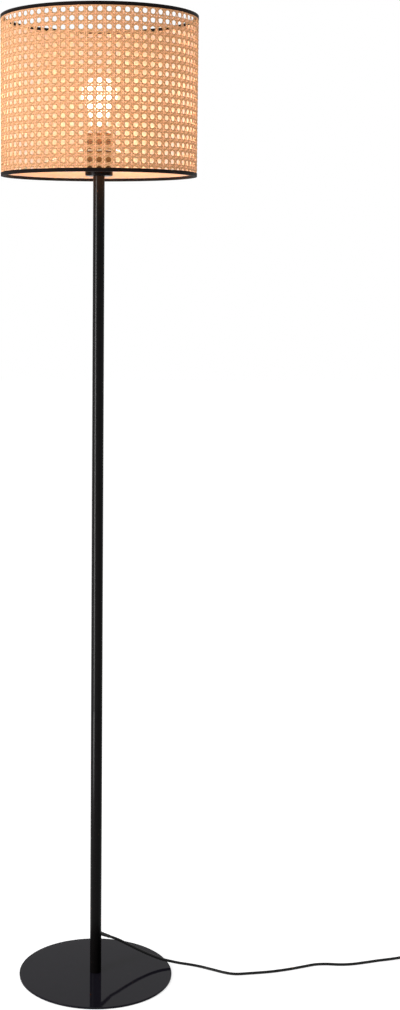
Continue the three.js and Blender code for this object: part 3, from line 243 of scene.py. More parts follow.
def lamp_glow_effect():
    """A painted glow for the bulb's light on or through what stands round it, strongest near the bulb."""
    inputs = {"Warm": "colour", "Far": "colour", "Near": "value", "Reach": "value",
              "Strength": "value", "Through": "colour"}
    tree, given, out = effect("lamp_glow", inputs, {"Glow": "colour"})
    away = {0: object_place(tree), 1: BULB_CENTRE}
    distance = put(tree, "ShaderNodeVectorMath", away, operation="DISTANCE").outputs["Value"]
    past = ramp(tree, distance, given["Near"], given["Reach"])
    near = calc(tree, "MULTIPLY", calc(tree, "SUBTRACT", 1.0, past), given["Strength"])
    colour = blended(tree, past, given["Warm"], given["Far"])
    tinted = times(tree, colour, given["Through"])
    scaled = put(tree, "ShaderNodeVectorMath", {0: tinted, "Scale": near}, operation="SCALE")
    tree.links.new(scaled.outputs[0], out["Glow"])
    return tree


def tape_effect():
    """Edging tape round a rim: fine crossing ribs, by angle and height."""
    inputs = {"Colour": "colour", "Tint": "colour", "Ribs Round": "value", "Ribs Per Metre": "value"}
    outputs = {"Colour": "colour", "Height": "value"}
    tree, given, out = effect("edging_tape", inputs, outputs)
    place = object_place(tree)
    parts = put(tree, "ShaderNodeSeparateXYZ", {0: place}).outputs
    turn = calc(tree, "MULTIPLY", calc(tree, "ARCTAN2", parts["Y"], parts["X"]), given["Ribs Round"])
    rise = calc(tree, "MULTIPLY", parts["Z"], given["Ribs Per Metre"])
    ribs = calc(tree, "MULTIPLY", calc(tree, "SINE", turn), calc(tree, "SINE", rise))
    worn = noise(tree, place, TAPE_WEAR, detail=4.0)
    height = calc(tree, "MULTIPLY_ADD", ribs, 0.5, worn)
    tree.links.new(blended(tree, worn, given["Colour"], given["Tint"]), out["Colour"])
    tree.links.new(height, out["Height"])
    return tree


SKIN = skin_effect()
DRAWN_METAL = drawn_metal_effect()
CANE = cane_effect()
LAMP_GLOW = lamp_glow_effect()
TAPE = tape_effect()


def finish(name, group, values, relief, lit=None, **shader):
    """A material whose shader reads a group's outputs. relief is the bump's strength and distance.

    lit has the lamp glow's values. A value that is a word names an output of the first group.
    """
    material = bpy.data.materials.new(name)
    material.use_nodes = True
    tree = material.node_tree
    principled = tree.nodes["Principled BSDF"]
    for socket, value in shader.items():
        principled.inputs[socket.replace("_", " ")].default_value = value
    made = put(tree, "ShaderNodeGroup", node_tree=group)
    for socket, value in values.items():
        made.inputs[socket].default_value = value
    for socket, feeds in (("Colour", "Base Color"), ("Roughness", "Roughness")):
        if socket in made.outputs:
            tree.links.new(made.outputs[socket], principled.inputs[feeds])
    bumps = {"Strength": relief[0], "Distance": relief[1], "Height": made.outputs["Height"]}
    tree.links.new(put(tree, "ShaderNodeBump", bumps).outputs[0], principled.inputs["Normal"])
    if lit:
        added = put(tree, "ShaderNodeGroup", node_tree=LAMP_GLOW)
        for socket, value in lit.items():
            feed(tree, added.inputs[socket], made.outputs[value] if isinstance(value, str) else value)
        tree.links.new(added.outputs["Glow"], principled.inputs["Emission Color"])
    return material


WHITE = (1, 1, 1, 1)


def glow(warm, far, near, reach, strength=1.0, through=WHITE):
    """The bulb's light painted as a glow on a finish, from warm up to the near distance to far at its reach.
    """
    return {"Warm": (*warm, 1), "Far": (*far, 1), "Near": near, "Reach": reach,
            "Strength": strength, "Through": through}


def skin(name, colour, tint, roughness, spread, mottle, grain, relief, lit=None, **shader):
    values = {"Colour": (*colour, 1), "Tint": (*tint, 1), "Roughness": roughness,
              "Spread": spread, "Mottle Scale": mottle, "Grain Scale": grain}
    return finish(name, SKIN, values, relief, lit, **shader)


def metal(name, colour, tint, stretch, roughness):
    values = {"Colour": (*colour, 1), "Tint": (*tint, 1), "Stretch": stretch,
              "Roughness": roughness, "Spread": 0.2}
    return finish(name, DRAWN_METAL, values, (0.15, 0.0001), Metallic=1.0)


# Each row: two colours, then the roughness and its spread, mottles and grains per metre, and the relief
SKINS = {
    "base_paint": ((0.0105, 0.0094, 0.0145), (0.0135, 0.0121, 0.018), 0.06, 0.04, 60, 900, (0.02, 0.00003)),
    "pole_paint": ((0.0012, 0.0011, 0.0011), (0.0022, 0.0019, 0.0019), 0.24, 0.08, 90, 2600, (0.08, 0.00004)),
    "rim_wire": ((0.012, 0.010, 0.009), (0.02, 0.017, 0.015), 0.45, 0.1, 200, 2500, (0.2, 0.0001)),
    "white_enamel": ((0.66, 0.56, 0.43), (0.72, 0.62, 0.49), 0.38, 0.1, 120, 1800, (0.15, 0.0001)),
    "holder_plastic": ((0.26, 0.125, 0.055), (0.33, 0.16, 0.072), 0.42, 0.15, 150, 3000, (0.25, 0.0001)),
    "switch_plastic": ((0.012, 0.012, 0.012), (0.018, 0.018, 0.018), 0.5, 0.12, 180, 3600, (0.5, 0.00015)),
    "button_plastic": ((0.01, 0.01, 0.01), (0.014, 0.014, 0.014), 0.2, 0.1, 150, 1500, (0.05, 0.00005)),
    "black_rubber": ((0.016, 0.016, 0.016), (0.026, 0.025, 0.024), 0.75, 0.15, 160, 2800, (0.4, 0.00015)),
    "base_rubber": ((0.02, 0.02, 0.02), (0.034, 0.033, 0.032), 0.85, 0.1, 130, 2200, (0.6, 0.0002)),
    "cord_sheath": ((0.004, 0.004, 0.004), (0.007, 0.007, 0.007), 0.4, 0.12, 120, 1500, (0.12, 0.0001)),
    "ceramic": ((0.78, 0.75, 0.68), (0.84, 0.81, 0.75), 0.32, 0.1, 90, 1600, (0.15, 0.0001)),
    "cap_insulator": ((0.01, 0.009, 0.009), (0.016, 0.014, 0.014), 0.15, 0.1, 150, 1500, (0.05, 0.0001)),
    "brown_insulation": ((0.10, 0.03, 0.01), (0.13, 0.04, 0.014), 0.4, 0.1, 150, 2000, (0.1, 0.0001)),
    "blue_insulation": ((0.01, 0.05, 0.32), (0.014, 0.07, 0.38), 0.4, 0.1, 150, 2000, (0.1, 0.0001)),
}
PLAIN_SHEEN = 0.5
SHEENS = {"base_paint": 0.045, "pole_paint": 0.055, "cord_sheath": 0.15}
# Each row: two colours, streaks per metre along x, y and z, and the roughness
METALS = {
    "plated_steel": ((0.55, 0.56, 0.57), (0.42, 0.43, 0.44), (300, 300, 2400), 0.32),
    "brass": ((0.62, 0.42, 0.15), (0.5, 0.32, 0.11), (300, 300, 2400), 0.28),
    "cap_metal": ((0.66, 0.66, 0.67), (0.52, 0.52, 0.53), (400, 400, 2600), 0.3),
}
TAPE_VALUES = {"Colour": (0.004, 0.0026, 0.0022, 1), "Tint": (0.009, 0.0055, 0.0045, 1),
               "Ribs Round": 1100.0, "Ribs Per Metre": 9000.0}
BULB_STRENGTH, BULB_ALPHA, FILAMENT_STRENGTH = 1.5, 0.6, 220.0
CANE_NEAR, CANE_REACH = 0.145, 0.32  # from the bulb's centre

FINISHES = {name: skin(name, *row, Specular_IOR_Level=SHEENS.get(name, PLAIN_SHEEN))
            for name, row in SKINS.items()}
FINISHES.update({name: metal(name, *row) for name, row in METALS.items()})
FINISHES["rim_trim"] = finish("rim_trim", TAPE, TAPE_VALUES, (0.5, 0.0002), Roughness=0.62,
                              Specular_IOR_Level=0.06)
FINISHES["clear_glass"] = skin("clear_glass", (0.95, 0.97, 0.97), (0.93, 0.96, 0.95), 0.05, 0.04,
                               60, 600, (0.02, 0.0001), Transmission_Weight=1.0, IOR=1.47)
# Frosted glass, lit from inside and brightest round the middle of the bulb
FINISHES["frosted_glass"] = skin(
    "frosted_glass", (0.9, 0.88, 0.82), (0.92, 0.9, 0.85), 0.5, 0.1, 100, 2500, (0.1, 0.0001),
    glow((1.0, 0.95, 0.8), (1.0, 0.82, 0.55), 0.028, 0.058),
    Emission_Strength=BULB_STRENGTH, Alpha=BULB_ALPHA)
FINISHES["filament"] = skin(
    "filament", (0.3, 0.25, 0.2), (0.35, 0.3, 0.25), 0.5, 0.1, 200, 3000, (0.1, 0.0001),
    glow((1.0, 0.86, 0.62), (1.0, 0.8, 0.5), 0.145, 0.2), Emission_Strength=FILAMENT_STRENGTH)


def paint_with_painted_glow(name, warm, far, near, reach):
    """The pole's paint with a painted glow, for the bulb's light and the lit shade, nearest the bulb."""
    return skin(name, *SKINS["pole_paint"], glow(warm, far, near, reach), Emission_Strength=1.0,
                Specular_IOR_Level=SHEENS["pole_paint"])


# Painted warm light and reflection on the cup and the pole's top, strongest nearest the bulb
CUP_PAINT_WITH_PAINTED_GLOW = paint_with_painted_glow("cup_paint_with_painted_glow", (0.5, 0.19, 0.06), (0.4, 0.14, 0.04), 0.085, 0.122)
POLE_HEAD_PAINT_WITH_PAINTED_GLOW = paint_with_painted_glow("pole_head_paint_with_painted_glow", (0.026, 0.011, 0.004), (0.006, 0.003, 0.001), 0.125, 0.2)

PALE, TAN, OLIVE = (0.83, 0.44, 0.255), (0.73, 0.36, 0.2), (0.45, 0.25, 0.10)
# The slanting strands are darker: partly their own olive colour, partly painted shade, as they lie lower in
# the weave
SLANT_PALE, SLANT_TAN = (0.72, 0.40, 0.19), (0.6, 0.32, 0.145)
# The colour of the painted shade on the strands' edges and where they dip
CANE_EDGE_SHADE = (0.30, 0.155, 0.06, 1)


def cane(name, pale, tan, share, edge, inner_edge, dip, light):
    """share is how much of it is olive, and light is the strength of its painted glow for the bulb's light
    through it.
    """
    values = {"Pale": (*pale, 1), "Tan": (*tan, 1), "Olive": (*OLIVE, 1), "Olive Share": share,
              "Edge": CANE_EDGE_SHADE, "Edge Share": edge, "Inner Edge": inner_edge, "Dip Share": dip}
    lit = glow((1.0, 0.95, 0.8), (1.0, 0.9, 0.75), CANE_NEAR, CANE_REACH, light, "Colour")
    return finish(name, CANE, values, (0.5, 0.0003), lit, Emission_Strength=1.0, Specular_IOR_Level=0.3)


CANES = {
    "uprights": cane("cane_uprights", PALE, TAN, 0.2, 0.9, 0.6, 0.55, 0.5),
    "rounds": cane("cane_rounds", PALE, TAN, 0.25, 0.9, 0.6, 0.55, 0.5),
    "diagonals": cane("cane_diagonals", SLANT_PALE, SLANT_TAN, 0.3, 0.75, 1.0, 0.3, 0.45),
}
# How much of the far wall the sheet with the painted glow hides
PAINTED_GLOW_COVER = 0.7


def painted_glow_finish():
    """A see-through sheet with a warm glow painted on its inner side: painted light, not a lining."""
    lit = glow((1.0, 0.53, 0.39), (1.0, 0.4, 0.12), CANE_NEAR, CANE_REACH)
    material = skin("cane_painted_glow", (0.42, 0.25, 0.14), (0.38, 0.22, 0.12), 0.6, 0.1, 45, 700,
                    (0.1, 0.0001), lit, Emission_Strength=1.0, Specular_IOR_Level=0.1)
    tree = material.node_tree
    outer_side = put(tree, "ShaderNodeNewGeometry").outputs["Backfacing"]
    cover = calc(tree, "MULTIPLY", calc(tree, "SUBTRACT", 1.0, outer_side), PAINTED_GLOW_COVER)
    tree.links.new(cover, tree.nodes["Principled BSDF"].inputs["Alpha"])
    return material


# Meshes

FACE_WEIGHT = 80  # of large faces over small ones in a mesh's normals
SHARP_EDGE = radians(40)


def mesh_piece(name, points, faces, even=True):
    """A smooth-shaded mesh. even weights its normals by face area, so that flat faces look flat."""
    mesh = bpy.data.meshes.new(name)
    mesh.from_pydata([tuple(p) for p in points], [], faces)
    mesh.update()
    mesh.shade_smooth()
    piece = placed(name, mesh)
    if even:
        piece.modifiers.new("even_normals", "WEIGHTED_NORMAL").weight = FACE_WEIGHT
    return piece


def eased(profile, radius, steps=3, loop=False):
    """The profile with each corner rounded, apart from its ends on the axis. A loop has no axis."""
    count = len(profile)
    on_axis = not loop and profile[0][0] == 0 and profile[-1][0] == 0
    out = []
    for i, (r, z) in enumerate(profile):
        if on_axis and i in (0, count - 1):
            out.append((r, z))
            continue
        corner = Vector((r, z))
        before, after = Vector(profile[i - 1]) - corner, Vector(profile[(i + 1) % count]) - corner
        reach = min(radius, 0.45 * before.length, 0.45 * after.length)
        start, end = corner + before.normalized() * reach, corner + after.normalized() * reach
        for step in range(steps + 1):
            t = step / steps
            out.append(tuple(start * (1 - t) ** 2 + corner * 2 * t * (1 - t) + end * t ** 2))
    return out


def ring_faces(rings, sides, closed=False):
    """Four-sided faces between rings of points that have the same number of sides."""
    faces = []
    for ring in range(rings if closed else rings - 1):
        low, high = ring * sides, (ring + 1) % rings * sides
        faces += [(low + s, low + (s + 1) % sides, high + (s + 1) % sides, high + s) for s in range(sides)]
    return faces


def end_faces(rings, sides):
    """The flat ends of a stack of rings."""
    return tuple(reversed(range(sides))), tuple((rings - 1) * sides + s for s in range(sides))


def lathe(profile, sides):
    """Points and faces of a solid of revolution, from (radius, height) pairs in millimetres."""
    on_axis = profile[0][0] == 0 and profile[-1][0] == 0
    rims = profile[1:-1] if on_axis else profile
    points = [mm(r * cos(a), r * sin(a), z) for r, z in rims for a in np.arange(sides) / sides * FULL_TURN]
    faces = ring_faces(len(rims), sides, closed=not on_axis)
    if on_axis:
        foot, top = len(points), len(points) + 1
        points += [mm(0, 0, profile[0][1]), mm(0, 0, profile[-1][1])]
        last = (len(rims) - 1) * sides
        faces += [(foot, (s + 1) % sides, s) for s in range(sides)]
        faces += [(top, last + s, last + (s + 1) % sides) for s in range(sides)]
    return points, faces


def turned(name, profile, sides, ease=0.3, steps=3):
    """A turned piece. The profile runs counter-clockwise, with the radius to the right."""
    rounded = eased(profile, ease, steps) if ease else profile
    return mesh_piece(name, *lathe(rounded, sides))


def raised(profile, rise):
    return [(r, z + rise) for r, z in profile]


def about_x(profile, sides):
    """A lathe shape whose axis lies along +x."""
    points, faces = lathe(profile, sides)
    return [Vector((p.z, p.y, -p.x)) for p in points], faces


def rod(name, profile, sides, place):
    """A lathe shape about the x direction, at a place in metres."""
    points, faces = about_x(profile, sides)
    return mesh_piece(name, [p + place for p in points], faces)


def smooth_path(points, per_span):
    """More points on the Catmull-Rom curve through the points."""
    ends = [points[0] * 2 - points[1], *points, points[-1] * 2 - points[-2]]
    out = []
    for a, b, c, d in zip(ends, ends[1:], ends[2:], ends[3:]):
        for step in range(per_span):
            t = step / per_span
            out.append(0.5 * ((2 * b) + (c - a) * t + (2 * a - 5 * b + 4 * c - d) * t ** 2
                              + (3 * b - a - 3 * c + d) * t ** 3))
    return [*out, points[-1]]


def swept(path, radius, sides, start=Vector((0, 0, 1))):
    """Points and faces of a tube along a path. radius may be a list, one for each point of the path."""
    radii = radius if isinstance(radius, (list, tuple)) else [radius] * len(path)
    points, across = [], start
    for i, (point, r) in enumerate(zip(path, radii)):
        along = (path[min(i + 1, len(path) - 1)] - path[max(i - 1, 0)]).normalized()
        across = (across - along * across.dot(along)).normalized()
        over = along.cross(across)
        points += [point + (across * cos(a) + over * sin(a)) * r
                   for a in np.arange(sides) / sides * FULL_TURN]
    return points, [*ring_faces(len(path), sides), *end_faces(len(path), sides)]


def together(*parts):
    """Several (points, faces) as one."""
    points, faces = [], []
    for more, these in parts:
        shift = len(points)
        points += list(more)
        faces += [tuple(shift + i for i in face) for face in these]
    return points, faces


def rounded_outline(length, width, corner, steps):
    x, y = length / 2 - corner, width / 2 - corner
    outline = []
    for quarter, (right, far) in enumerate([(1, 1), (-1, 1), (-1, -1), (1, -1)]):
        for step in range(steps + 1):
            a = (quarter + step / steps) * pi / 2
            outline.append((right * x + corner * cos(a), far * y + corner * sin(a)))
    return outline


def eased_levels(outline, bottom, top, low_ease, high_ease, steps=5):
    """Outlines that round a block's lower and upper edges. outline gives one for each inset."""
    turns = [step / steps * pi / 2 for step in range(steps + 1)]
    low = [(outline(low_ease * (1 - sin(a))), bottom + low_ease * (1 - cos(a))) for a in turns]
    high = [(outline(high_ease * (1 - cos(a))), top - high_ease * (1 - sin(a))) for a in turns]
    return low + high


def stacked(name, levels, centre):
    """A closed solid through outlines one above the other: (outline, height) pairs in millimetres."""
    points = [mm(x + centre[0], y + centre[1], z) for outline, z in levels for x, y in outline]
    count = len(levels), len(levels[0][0])
    foot, top = end_faces(*count)
    return mesh_piece(name, points, [foot, *ring_faces(*count), top])


def carved(piece, *cutters):
    """The piece with the cutters' shapes taken out of it."""
    for cutter in cutters:
        cut = piece.modifiers.new("cut", "BOOLEAN")
        cut.object = cutter
        cut.solver = "EXACT"
        piece.modifiers.move(len(piece.modifiers) - 1, 0)
    for modifier in [m for m in piece.modifiers if m.type == "WEIGHTED_NORMAL"]:
        piece.modifiers.remove(modifier)
    bpy.context.view_layer.update()
    result = bpy.data.meshes.new_from_object(piece.evaluated_get(bpy.context.evaluated_depsgraph_get()))
    piece.modifiers.clear()
    piece.data = result
    for cutter in cutters:
        bpy.data.objects.remove(cutter)
    result.shade_smooth()
    result.set_sharp_from_angle(angle=SHARP_EDGE)
    return piece


def dress(piece, slot, *nodes, body="lamp", material=None):
    """The piece takes the slot's finish, stands for the nodes and moves with the body."""
    piece.data.materials.clear()
    piece.data.materials.append(material or FINISHES[slot])
    if nodes:
        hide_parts(*nodes)
    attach(piece, body)
    return piece


# Cord: one length from the pole through the foot switch and round the coil to the plug

CORD_DIAMETER = 4.2
POLE_RADIUS, POLE_WALL = 9, 1.2
EXIT_TURN, EXIT_DROP = radians(35), radians(27.7)
EXIT_POINT = Vector((POLE_RADIUS * cos(EXIT_TURN), POLE_RADIUS * sin(EXIT_TURN), 62.8))
EXIT_DIRECTION = Vector((cos(EXIT_TURN) * cos(EXIT_DROP), sin(EXIT_TURN) * cos(EXIT_DROP), -sin(EXIT_DROP)))
BUSHING_LENGTH = 20
CORD_GAP = 0.3
SWITCH_CENTRE = (572, 52)
SWITCH_JOINT = 7.85
BOOT_REACH = 67  # from the switch's centre to its boots' tips
COIL_CENTRE = Vector((640, -22, 0))
COIL_LOOPS, COIL_PITCH, COIL_INNER, COIL_HEIGHT = 6, 4.9, 17.65, 2.9
LOOP_STEPS = 24
PLUG_BOOT_TIP = (632, -66.5, 6.85)

LEAD_POINTS = [
    (35, 20, 46.7), (47, 22.5, 39.9), (67, 24.5, 28.9), (87.5, 25, 19.4), (104, 24, 13.6),
    (118, 23, 10.6), (133, 22.5, 7.7), (150, 22.4, 5.2), (167, 19.8, 3.2), (185.5, 11.2, 2.4),
    (204.5, 0.6, 2.4), (221, -4, 2.4), (245, -1, 2.4), (277, 4.6, 2.4), (307, 13.6, 2.4),
    (329, 22.2, 2.4), (350, 30.4, 2.4), (369, 32.4, 2.4), (391, 30.8, 2.4), (412, 33, 2.4),
    (433, 39, 2.4), (455, 46, 2.4), (474, 50, 2.9), (490, 51.8, 4.6),
]
LINK_POINTS = [
    (649, 50.6, 7.2), (658, 46.2, 6), (665.6, 39, 4.6), (670.6, 29.5, 3.5), (672.8, 18, 3),
    (673, 5, 2.9), (672.8, -7, 2.9),
]
TAIL_POINTS = [
    (672.7, -34, 7.7), (671, -44, 7.5), (665.8, -54, 7.3), (657, -61.5, 7.1), (647, -65.4, 6.95),
    (640, -66.3, 6.9),
]


def coil_points():
    """The coil's own turns: in on the lower layer, up in half a turn, out on the upper one."""
    turns = []
    for i in range(COIL_LOOPS * LOOP_STEPS + 1):
        past = i / LOOP_STEPS - COIL_LOOPS / 2
        radius = COIL_INNER + COIL_PITCH * hypot(past, 0.15)
        t = min(max((past + 0.25) / 0.5, 0), 1)
        climb = t * t * (3 - 2 * t)
        angle = -i / LOOP_STEPS * FULL_TURN
        place = Vector((radius * cos(angle), radius * sin(angle), COIL_HEIGHT + climb * COIL_PITCH))
        turns.append(COIL_CENTRE + place)
    leads = []
    for end, inner in ((turns[0], turns[1]), (turns[-1], turns[-2])):
        out = end - inner
        out.z = 0
        out.normalize()
        leads.append([end + out * CORD_DIAMETER, end + out * (CORD_DIAMETER * 2 + CORD_GAP)])
    return [*reversed(leads[0]), *turns, *leads[1]]


def cord_curve(name, points):
    data = bpy.data.curves.new(name, "CURVE")
    data.dimensions = "3D"
    data.bevel_depth = CORD_DIAMETER / 2 * MM
    data.bevel_resolution = 4
    data.resolution_u = 6
    data.use_fill_caps = True
    spline = data.splines.new("BEZIER")
    spline.bezier_points.add(len(points) - 1)
    route = [Vector(p) * MM for p in points]
    for i, knot in enumerate(spline.bezier_points):
        before, after = route[max(i - 1, 0)], route[min(i + 1, len(route) - 1)]
        tangent = (after - before) * (0.5 if 0 < i < len(route) - 1 else 1)
        knot.handle_left_type = knot.handle_right_type = "FREE"
        knot.co = route[i]
        knot.handle_left, knot.handle_right = route[i] - tangent / 3, route[i] + tangent / 3
    return placed(name, data)


def cord_route():
    """Out of the pole, to the switch's near boot, straight through it, round the coil and to the plug."""
    step = Vector((CORD_DIAMETER, 0, 0))
    switch, reach = Vector((*SWITCH_CENTRE, SWITCH_JOINT)), Vector((BOOT_REACH, 0, 0))
    near_tip, far_tip = switch - reach, switch + reach
    bushing_tip = EXIT_POINT + EXIT_DIRECTION * (BUSHING_LENGTH + CORD_GAP)
    plug_tip = Vector(PLUG_BOOT_TIP)
    return [
        EXIT_POINT, EXIT_POINT + EXIT_DIRECTION * BUSHING_LENGTH / 2, bushing_tip,
        bushing_tip + EXIT_DIRECTION * CORD_DIAMETER, *LEAD_POINTS,
        near_tip - step, near_tip, near_tip + step * 8, far_tip - step * 8, far_tip, far_tip + step,
        *LINK_POINTS, *coil_points(), *TAIL_POINTS, plug_tip + step, plug_tip,
    ]


mains_cord = cord_curve("mains_cord", cord_route())
dress(mains_cord, "cord_sheath", "cord_lead", "cord_link", "cord_coil", "cord_tail")


# Base and pole

def base():
    disc = [(3.3, 3.45), (6.3, 0.85), (120, 0.85), (120, 4.05), (3.3, 4.05)]
    dress(turned("base_disc", disc, sides=192, ease=0.7, steps=5), "base_paint", "base_plate")
    pad = [(17, 0), (117, 0), (117, 0.8), (17, 0.8)]
    dress(turned("base_foam_ring", pad, sides=128, ease=0.2), "base_rubber", "base_pad")
    shank = [(0, 0.85), (6, 0.85), (3, 3.45), (3, 18.05), (0, 18.05)]
    screw = turned("base_hex_screw", shank, sides=32, ease=0.15)
    key = mesh_piece("key", *lathe([(0, -3), (2, -3), (2, 2.45), (0, 2.45)], 6))
    dress(carved(screw, key), "plated_steel", "base_screw")


def turned_to_exit(points):
    """Points about +x, carried to where the cord leaves the pole."""
    turn = Matrix.Rotation(EXIT_TURN, 3, "Z") @ Matrix.Rotation(EXIT_DROP, 3, "Y")
    return [turn @ p + EXIT_POINT * MM for p in points]


def pole():
    bore = POLE_RADIUS - POLE_WALL
    for part in ("lower", "middle", "upper"):
        low, high = (corner.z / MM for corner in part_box(f"pole_{part}"))
        wall = [(bore, low), (POLE_RADIUS, low), (POLE_RADIUS, high), (bore, high)]
        tube = turned(f"pole_tube_{part}", wall, sides=72, ease=0.15, steps=2)
        if part == "lower":
            way = [(0, -POLE_RADIUS), (3.5, -POLE_RADIUS), (3.5, POLE_RADIUS), (0, POLE_RADIUS)]
            points, faces = about_x(way, 24)
            carved(tube, mesh_piece("hole", turned_to_exit(points), faces))
        dress(tube, "pole_paint", f"pole_{part}", material=POLE_HEAD_PAINT_WITH_PAINTED_GLOW if part == "upper" else None)
    dress(bushing(), "black_rubber", "cord_bushing")


def ribbed_taper(length, root, tip, ribs, tail=0.0):
    """A strain relief's profile about its axis: ribs that get smaller towards the tip."""
    profile = [(0, -tail), (root, -tail)]
    pitch = (length - 2) / (ribs + 1)
    for rib in range(ribs):
        start = 1 + pitch * (rib + 0.5)
        radius = root + (tip - root) * start / length
        groove = radius - 0.35
        profile += [(radius, start), (groove, start + pitch * 0.2), (groove, start + pitch * 0.55),
                    (radius - 0.05, start + pitch * 0.75)]
    return profile + [(tip, length), (0, length)]


def bushing():
    points, faces = about_x(eased(ribbed_taper(BUSHING_LENGTH, 3.2, 2.5, 4, tail=3), 0.15, 2), 32)
    return mesh_piece("cord_strain_relief", turned_to_exit(points), faces)


base()
pole()


# Lampholder, in heights above the cup's underside

LAMP_TOP, SHADE_BOTTOM = 1500, 1255
CUP_BOTTOM = SHADE_BOTTOM + 1
SKIRT_RADIUS = 19.9
FLANGE_RADIUS = 23.9
HOLDER_SIDES = 96


def reshaped(points, change):
    """Points whose radius about the z axis is changed: change takes millimetres (radius, turns, height)."""
    out = []
    for p in points:
        radius = hypot(p[0], p[1])
        if radius > 0:
            turns = (np.arctan2(p[1], p[0]) / FULL_TURN) % 1
            scale = change(radius / MM, turns, p[2] / MM) * MM / radius
            p = Vector((p[0] * scale, p[1] * scale, p[2]))
        out.append(p)
    return out


def thread(low, high, outer, depth, pitch):
    """A screw thread cut into the face at radius outer, between two heights."""
    def change(radius, turns, height):
        if abs(radius - outer) > 0.01 or not low <= height <= high:
            return radius
        ease = min(1, (height - low) / pitch, (high - height) / pitch)
        wave = 0.5 + 0.5 * cos(((height / pitch - turns) % 1) * FULL_TURN)
        return radius - depth * ease * wave
    return change


def fluted(outer, depth, count, low, high):
    """Grip flutes round a ring's outer face."""
    def change(radius, turns, height):
        if radius < outer - 0.6 or not low < height < high:
            return radius
        return radius - depth * max(0, cos(turns * count * FULL_TURN)) ** 2
    return change


def climbing(radius, low, high, step):
    return [(radius, z) for z in np.arange(low, high + step / 2, step)]


def lampholder():
    cup = [(5.3, 0), (20.4, 0), (21.4, 1), (21.4, 36), (20.6, 36), (20.6, 1.2), (5.3, 1.2)]
    shell = turned("cup_shell", raised(cup, CUP_BOTTOM), sides=HOLDER_SIDES, ease=0.7)
    dress(shell, "pole_paint", "holder_cup", material=CUP_PAINT_WITH_PAINTED_GLOW)

    wall = [(17.8, 26.05), (SKIRT_RADIUS, 26.05), (SKIRT_RADIUS, 36.05), (FLANGE_RADIUS, 36.05),
            (FLANGE_RADIUS, 37.65), (SKIRT_RADIUS, 37.65)]
    lip = [(SKIRT_RADIUS, 65.05), (16.3, 65.05), (16.3, 34.35), (17.8, 34.35)]
    profile = raised(wall + climbing(SKIRT_RADIUS, 38, 64.5, 0.5) + lip, CUP_BOTTOM)
    points, faces = lathe(profile, HOLDER_SIDES)
    points = reshaped(points, thread(CUP_BOTTOM + 38, CUP_BOTTOM + 64, SKIRT_RADIUS, 0.7, 3))
    dress(mesh_piece("threaded_holder_body", points, faces), "holder_plastic", "holder_body")

    rim = [(20.2, 39.55), (FLANGE_RADIUS, 39.55), (FLANGE_RADIUS, 43.55), (20.2, 43.55)]
    points, faces = lathe(eased(raised(rim, CUP_BOTTOM), 0.5), 192)
    points = reshaped(points, fluted(FLANGE_RADIUS, 0.45, 32, CUP_BOTTOM + 39.6, CUP_BOTTOM + 43.5))
    dress(mesh_piece("fluted_retaining_ring", points, faces), "holder_plastic", "shade_retaining_ring")


# Bulb, in heights above its tip

BULB_TIP = CUP_BOTTOM + 44.15
BULB_RADIUS, BULB_LENGTH = 27.5, 108
NECK_RADIUS = 11.9
CAP_TOP = 27
GLASS_THICKNESS, GLASS_STEPS = 0.8, 18


def glass_outline(inset):
    """From the glass's lower edge round to the axis, a distance inside its outer face."""
    radius, centre, neck = BULB_RADIUS - inset, BULB_LENGTH - BULB_RADIUS, NECK_RADIUS - inset
    shoulder = radians(40)  # below the middle of the round end, where the neck's curve joins it
    end = Vector((radius * cos(shoulder), centre - radius * sin(shoulder)))
    reach = 0.3 * radius
    corners = [Vector((neck, CAP_TOP)), Vector((neck, CAP_TOP + reach)),
               end - Vector((sin(shoulder), cos(shoulder))) * reach, end]
    outline = [(neck, CAP_TOP - 9.8)]
    for step in range(GLASS_STEPS):
        t = step / GLASS_STEPS
        weights = ((1 - t) ** 3, 3 * t * (1 - t) ** 2, 3 * t * t * (1 - t), t ** 3)
        outline.append(tuple(sum((c * w for c, w in zip(corners, weights)), Vector((0, 0)))))
    for step in range(GLASS_STEPS * 2):
        angle = -shoulder + (pi / 2 + shoulder) * step / (GLASS_STEPS * 2)
        outline.append((radius * cos(angle), centre + radius * sin(angle)))
    return [*outline, (0, centre + radius)]


def bulb():
    walls = [*reversed(glass_outline(GLASS_THICKNESS)), *glass_outline(0)]
    glass = mesh_piece("frosted_globe", *lathe(raised(walls, BULB_TIP), 80), even=False)
    dress(glass, "frosted_glass", "bulb_glass")

    wall = [(12.2, 2.5), (12.7, 2.5)] + climbing(13.2, 3, 26.5, 0.5) + [(12.7, 27), (12.2, 27)]
    points, faces = lathe(raised(wall, BULB_TIP), 72)
    points = reshaped(points, thread(BULB_TIP + 3, BULB_TIP + 26.5, 13.2, 0.5, 3.6))
    dress(mesh_piece("threaded_cap", points, faces), "cap_metal", "bulb_cap")
    tip = [(0, 0), (5, 0), (11.9, 2.5), (11.9, 5), (0, 5)]
    dress(turned("cap_contact_disc", raised(tip, BULB_TIP), sides=48), "cap_insulator", "bulb_contact")
    dress(mesh_piece("filament_sticks", *together(*filament_sticks())), "filament", "bulb_filament")


def filament_sticks():
    """Four upright glowing sticks round the stem's axis, each held by a wire from the stem's top."""
    for stick in range(4):
        turn = Matrix.Rotation((stick + 0.5) * pi / 2, 3, "Z")
        wire = [mm(1.5, 0, BULB_TIP + 51.6), mm(3.5, 0, BULB_TIP + 53), mm(5.2, 0, BULB_TIP + 55.5),
                mm(5.2, 0, BULB_TIP + 58)]
        path = [mm(5.2, 0, BULB_TIP + z) for z in (57.5, 58.2, 59, 91, 91.8, 92.5)]
        radii = [r * MM for r in (0.3, 0.8, 1.0, 1.0, 0.8, 0.3)]
        yield swept([turn @ p for p in smooth_path(wire, 4)], 0.3 * MM, 8, Vector((0, 1, 0)))
        yield swept([turn @ p for p in path], radii, 16, Vector((1, 0, 0)))


# Cane webbing: upright and level strands in pairs, and slanting strands that cross between the pairs

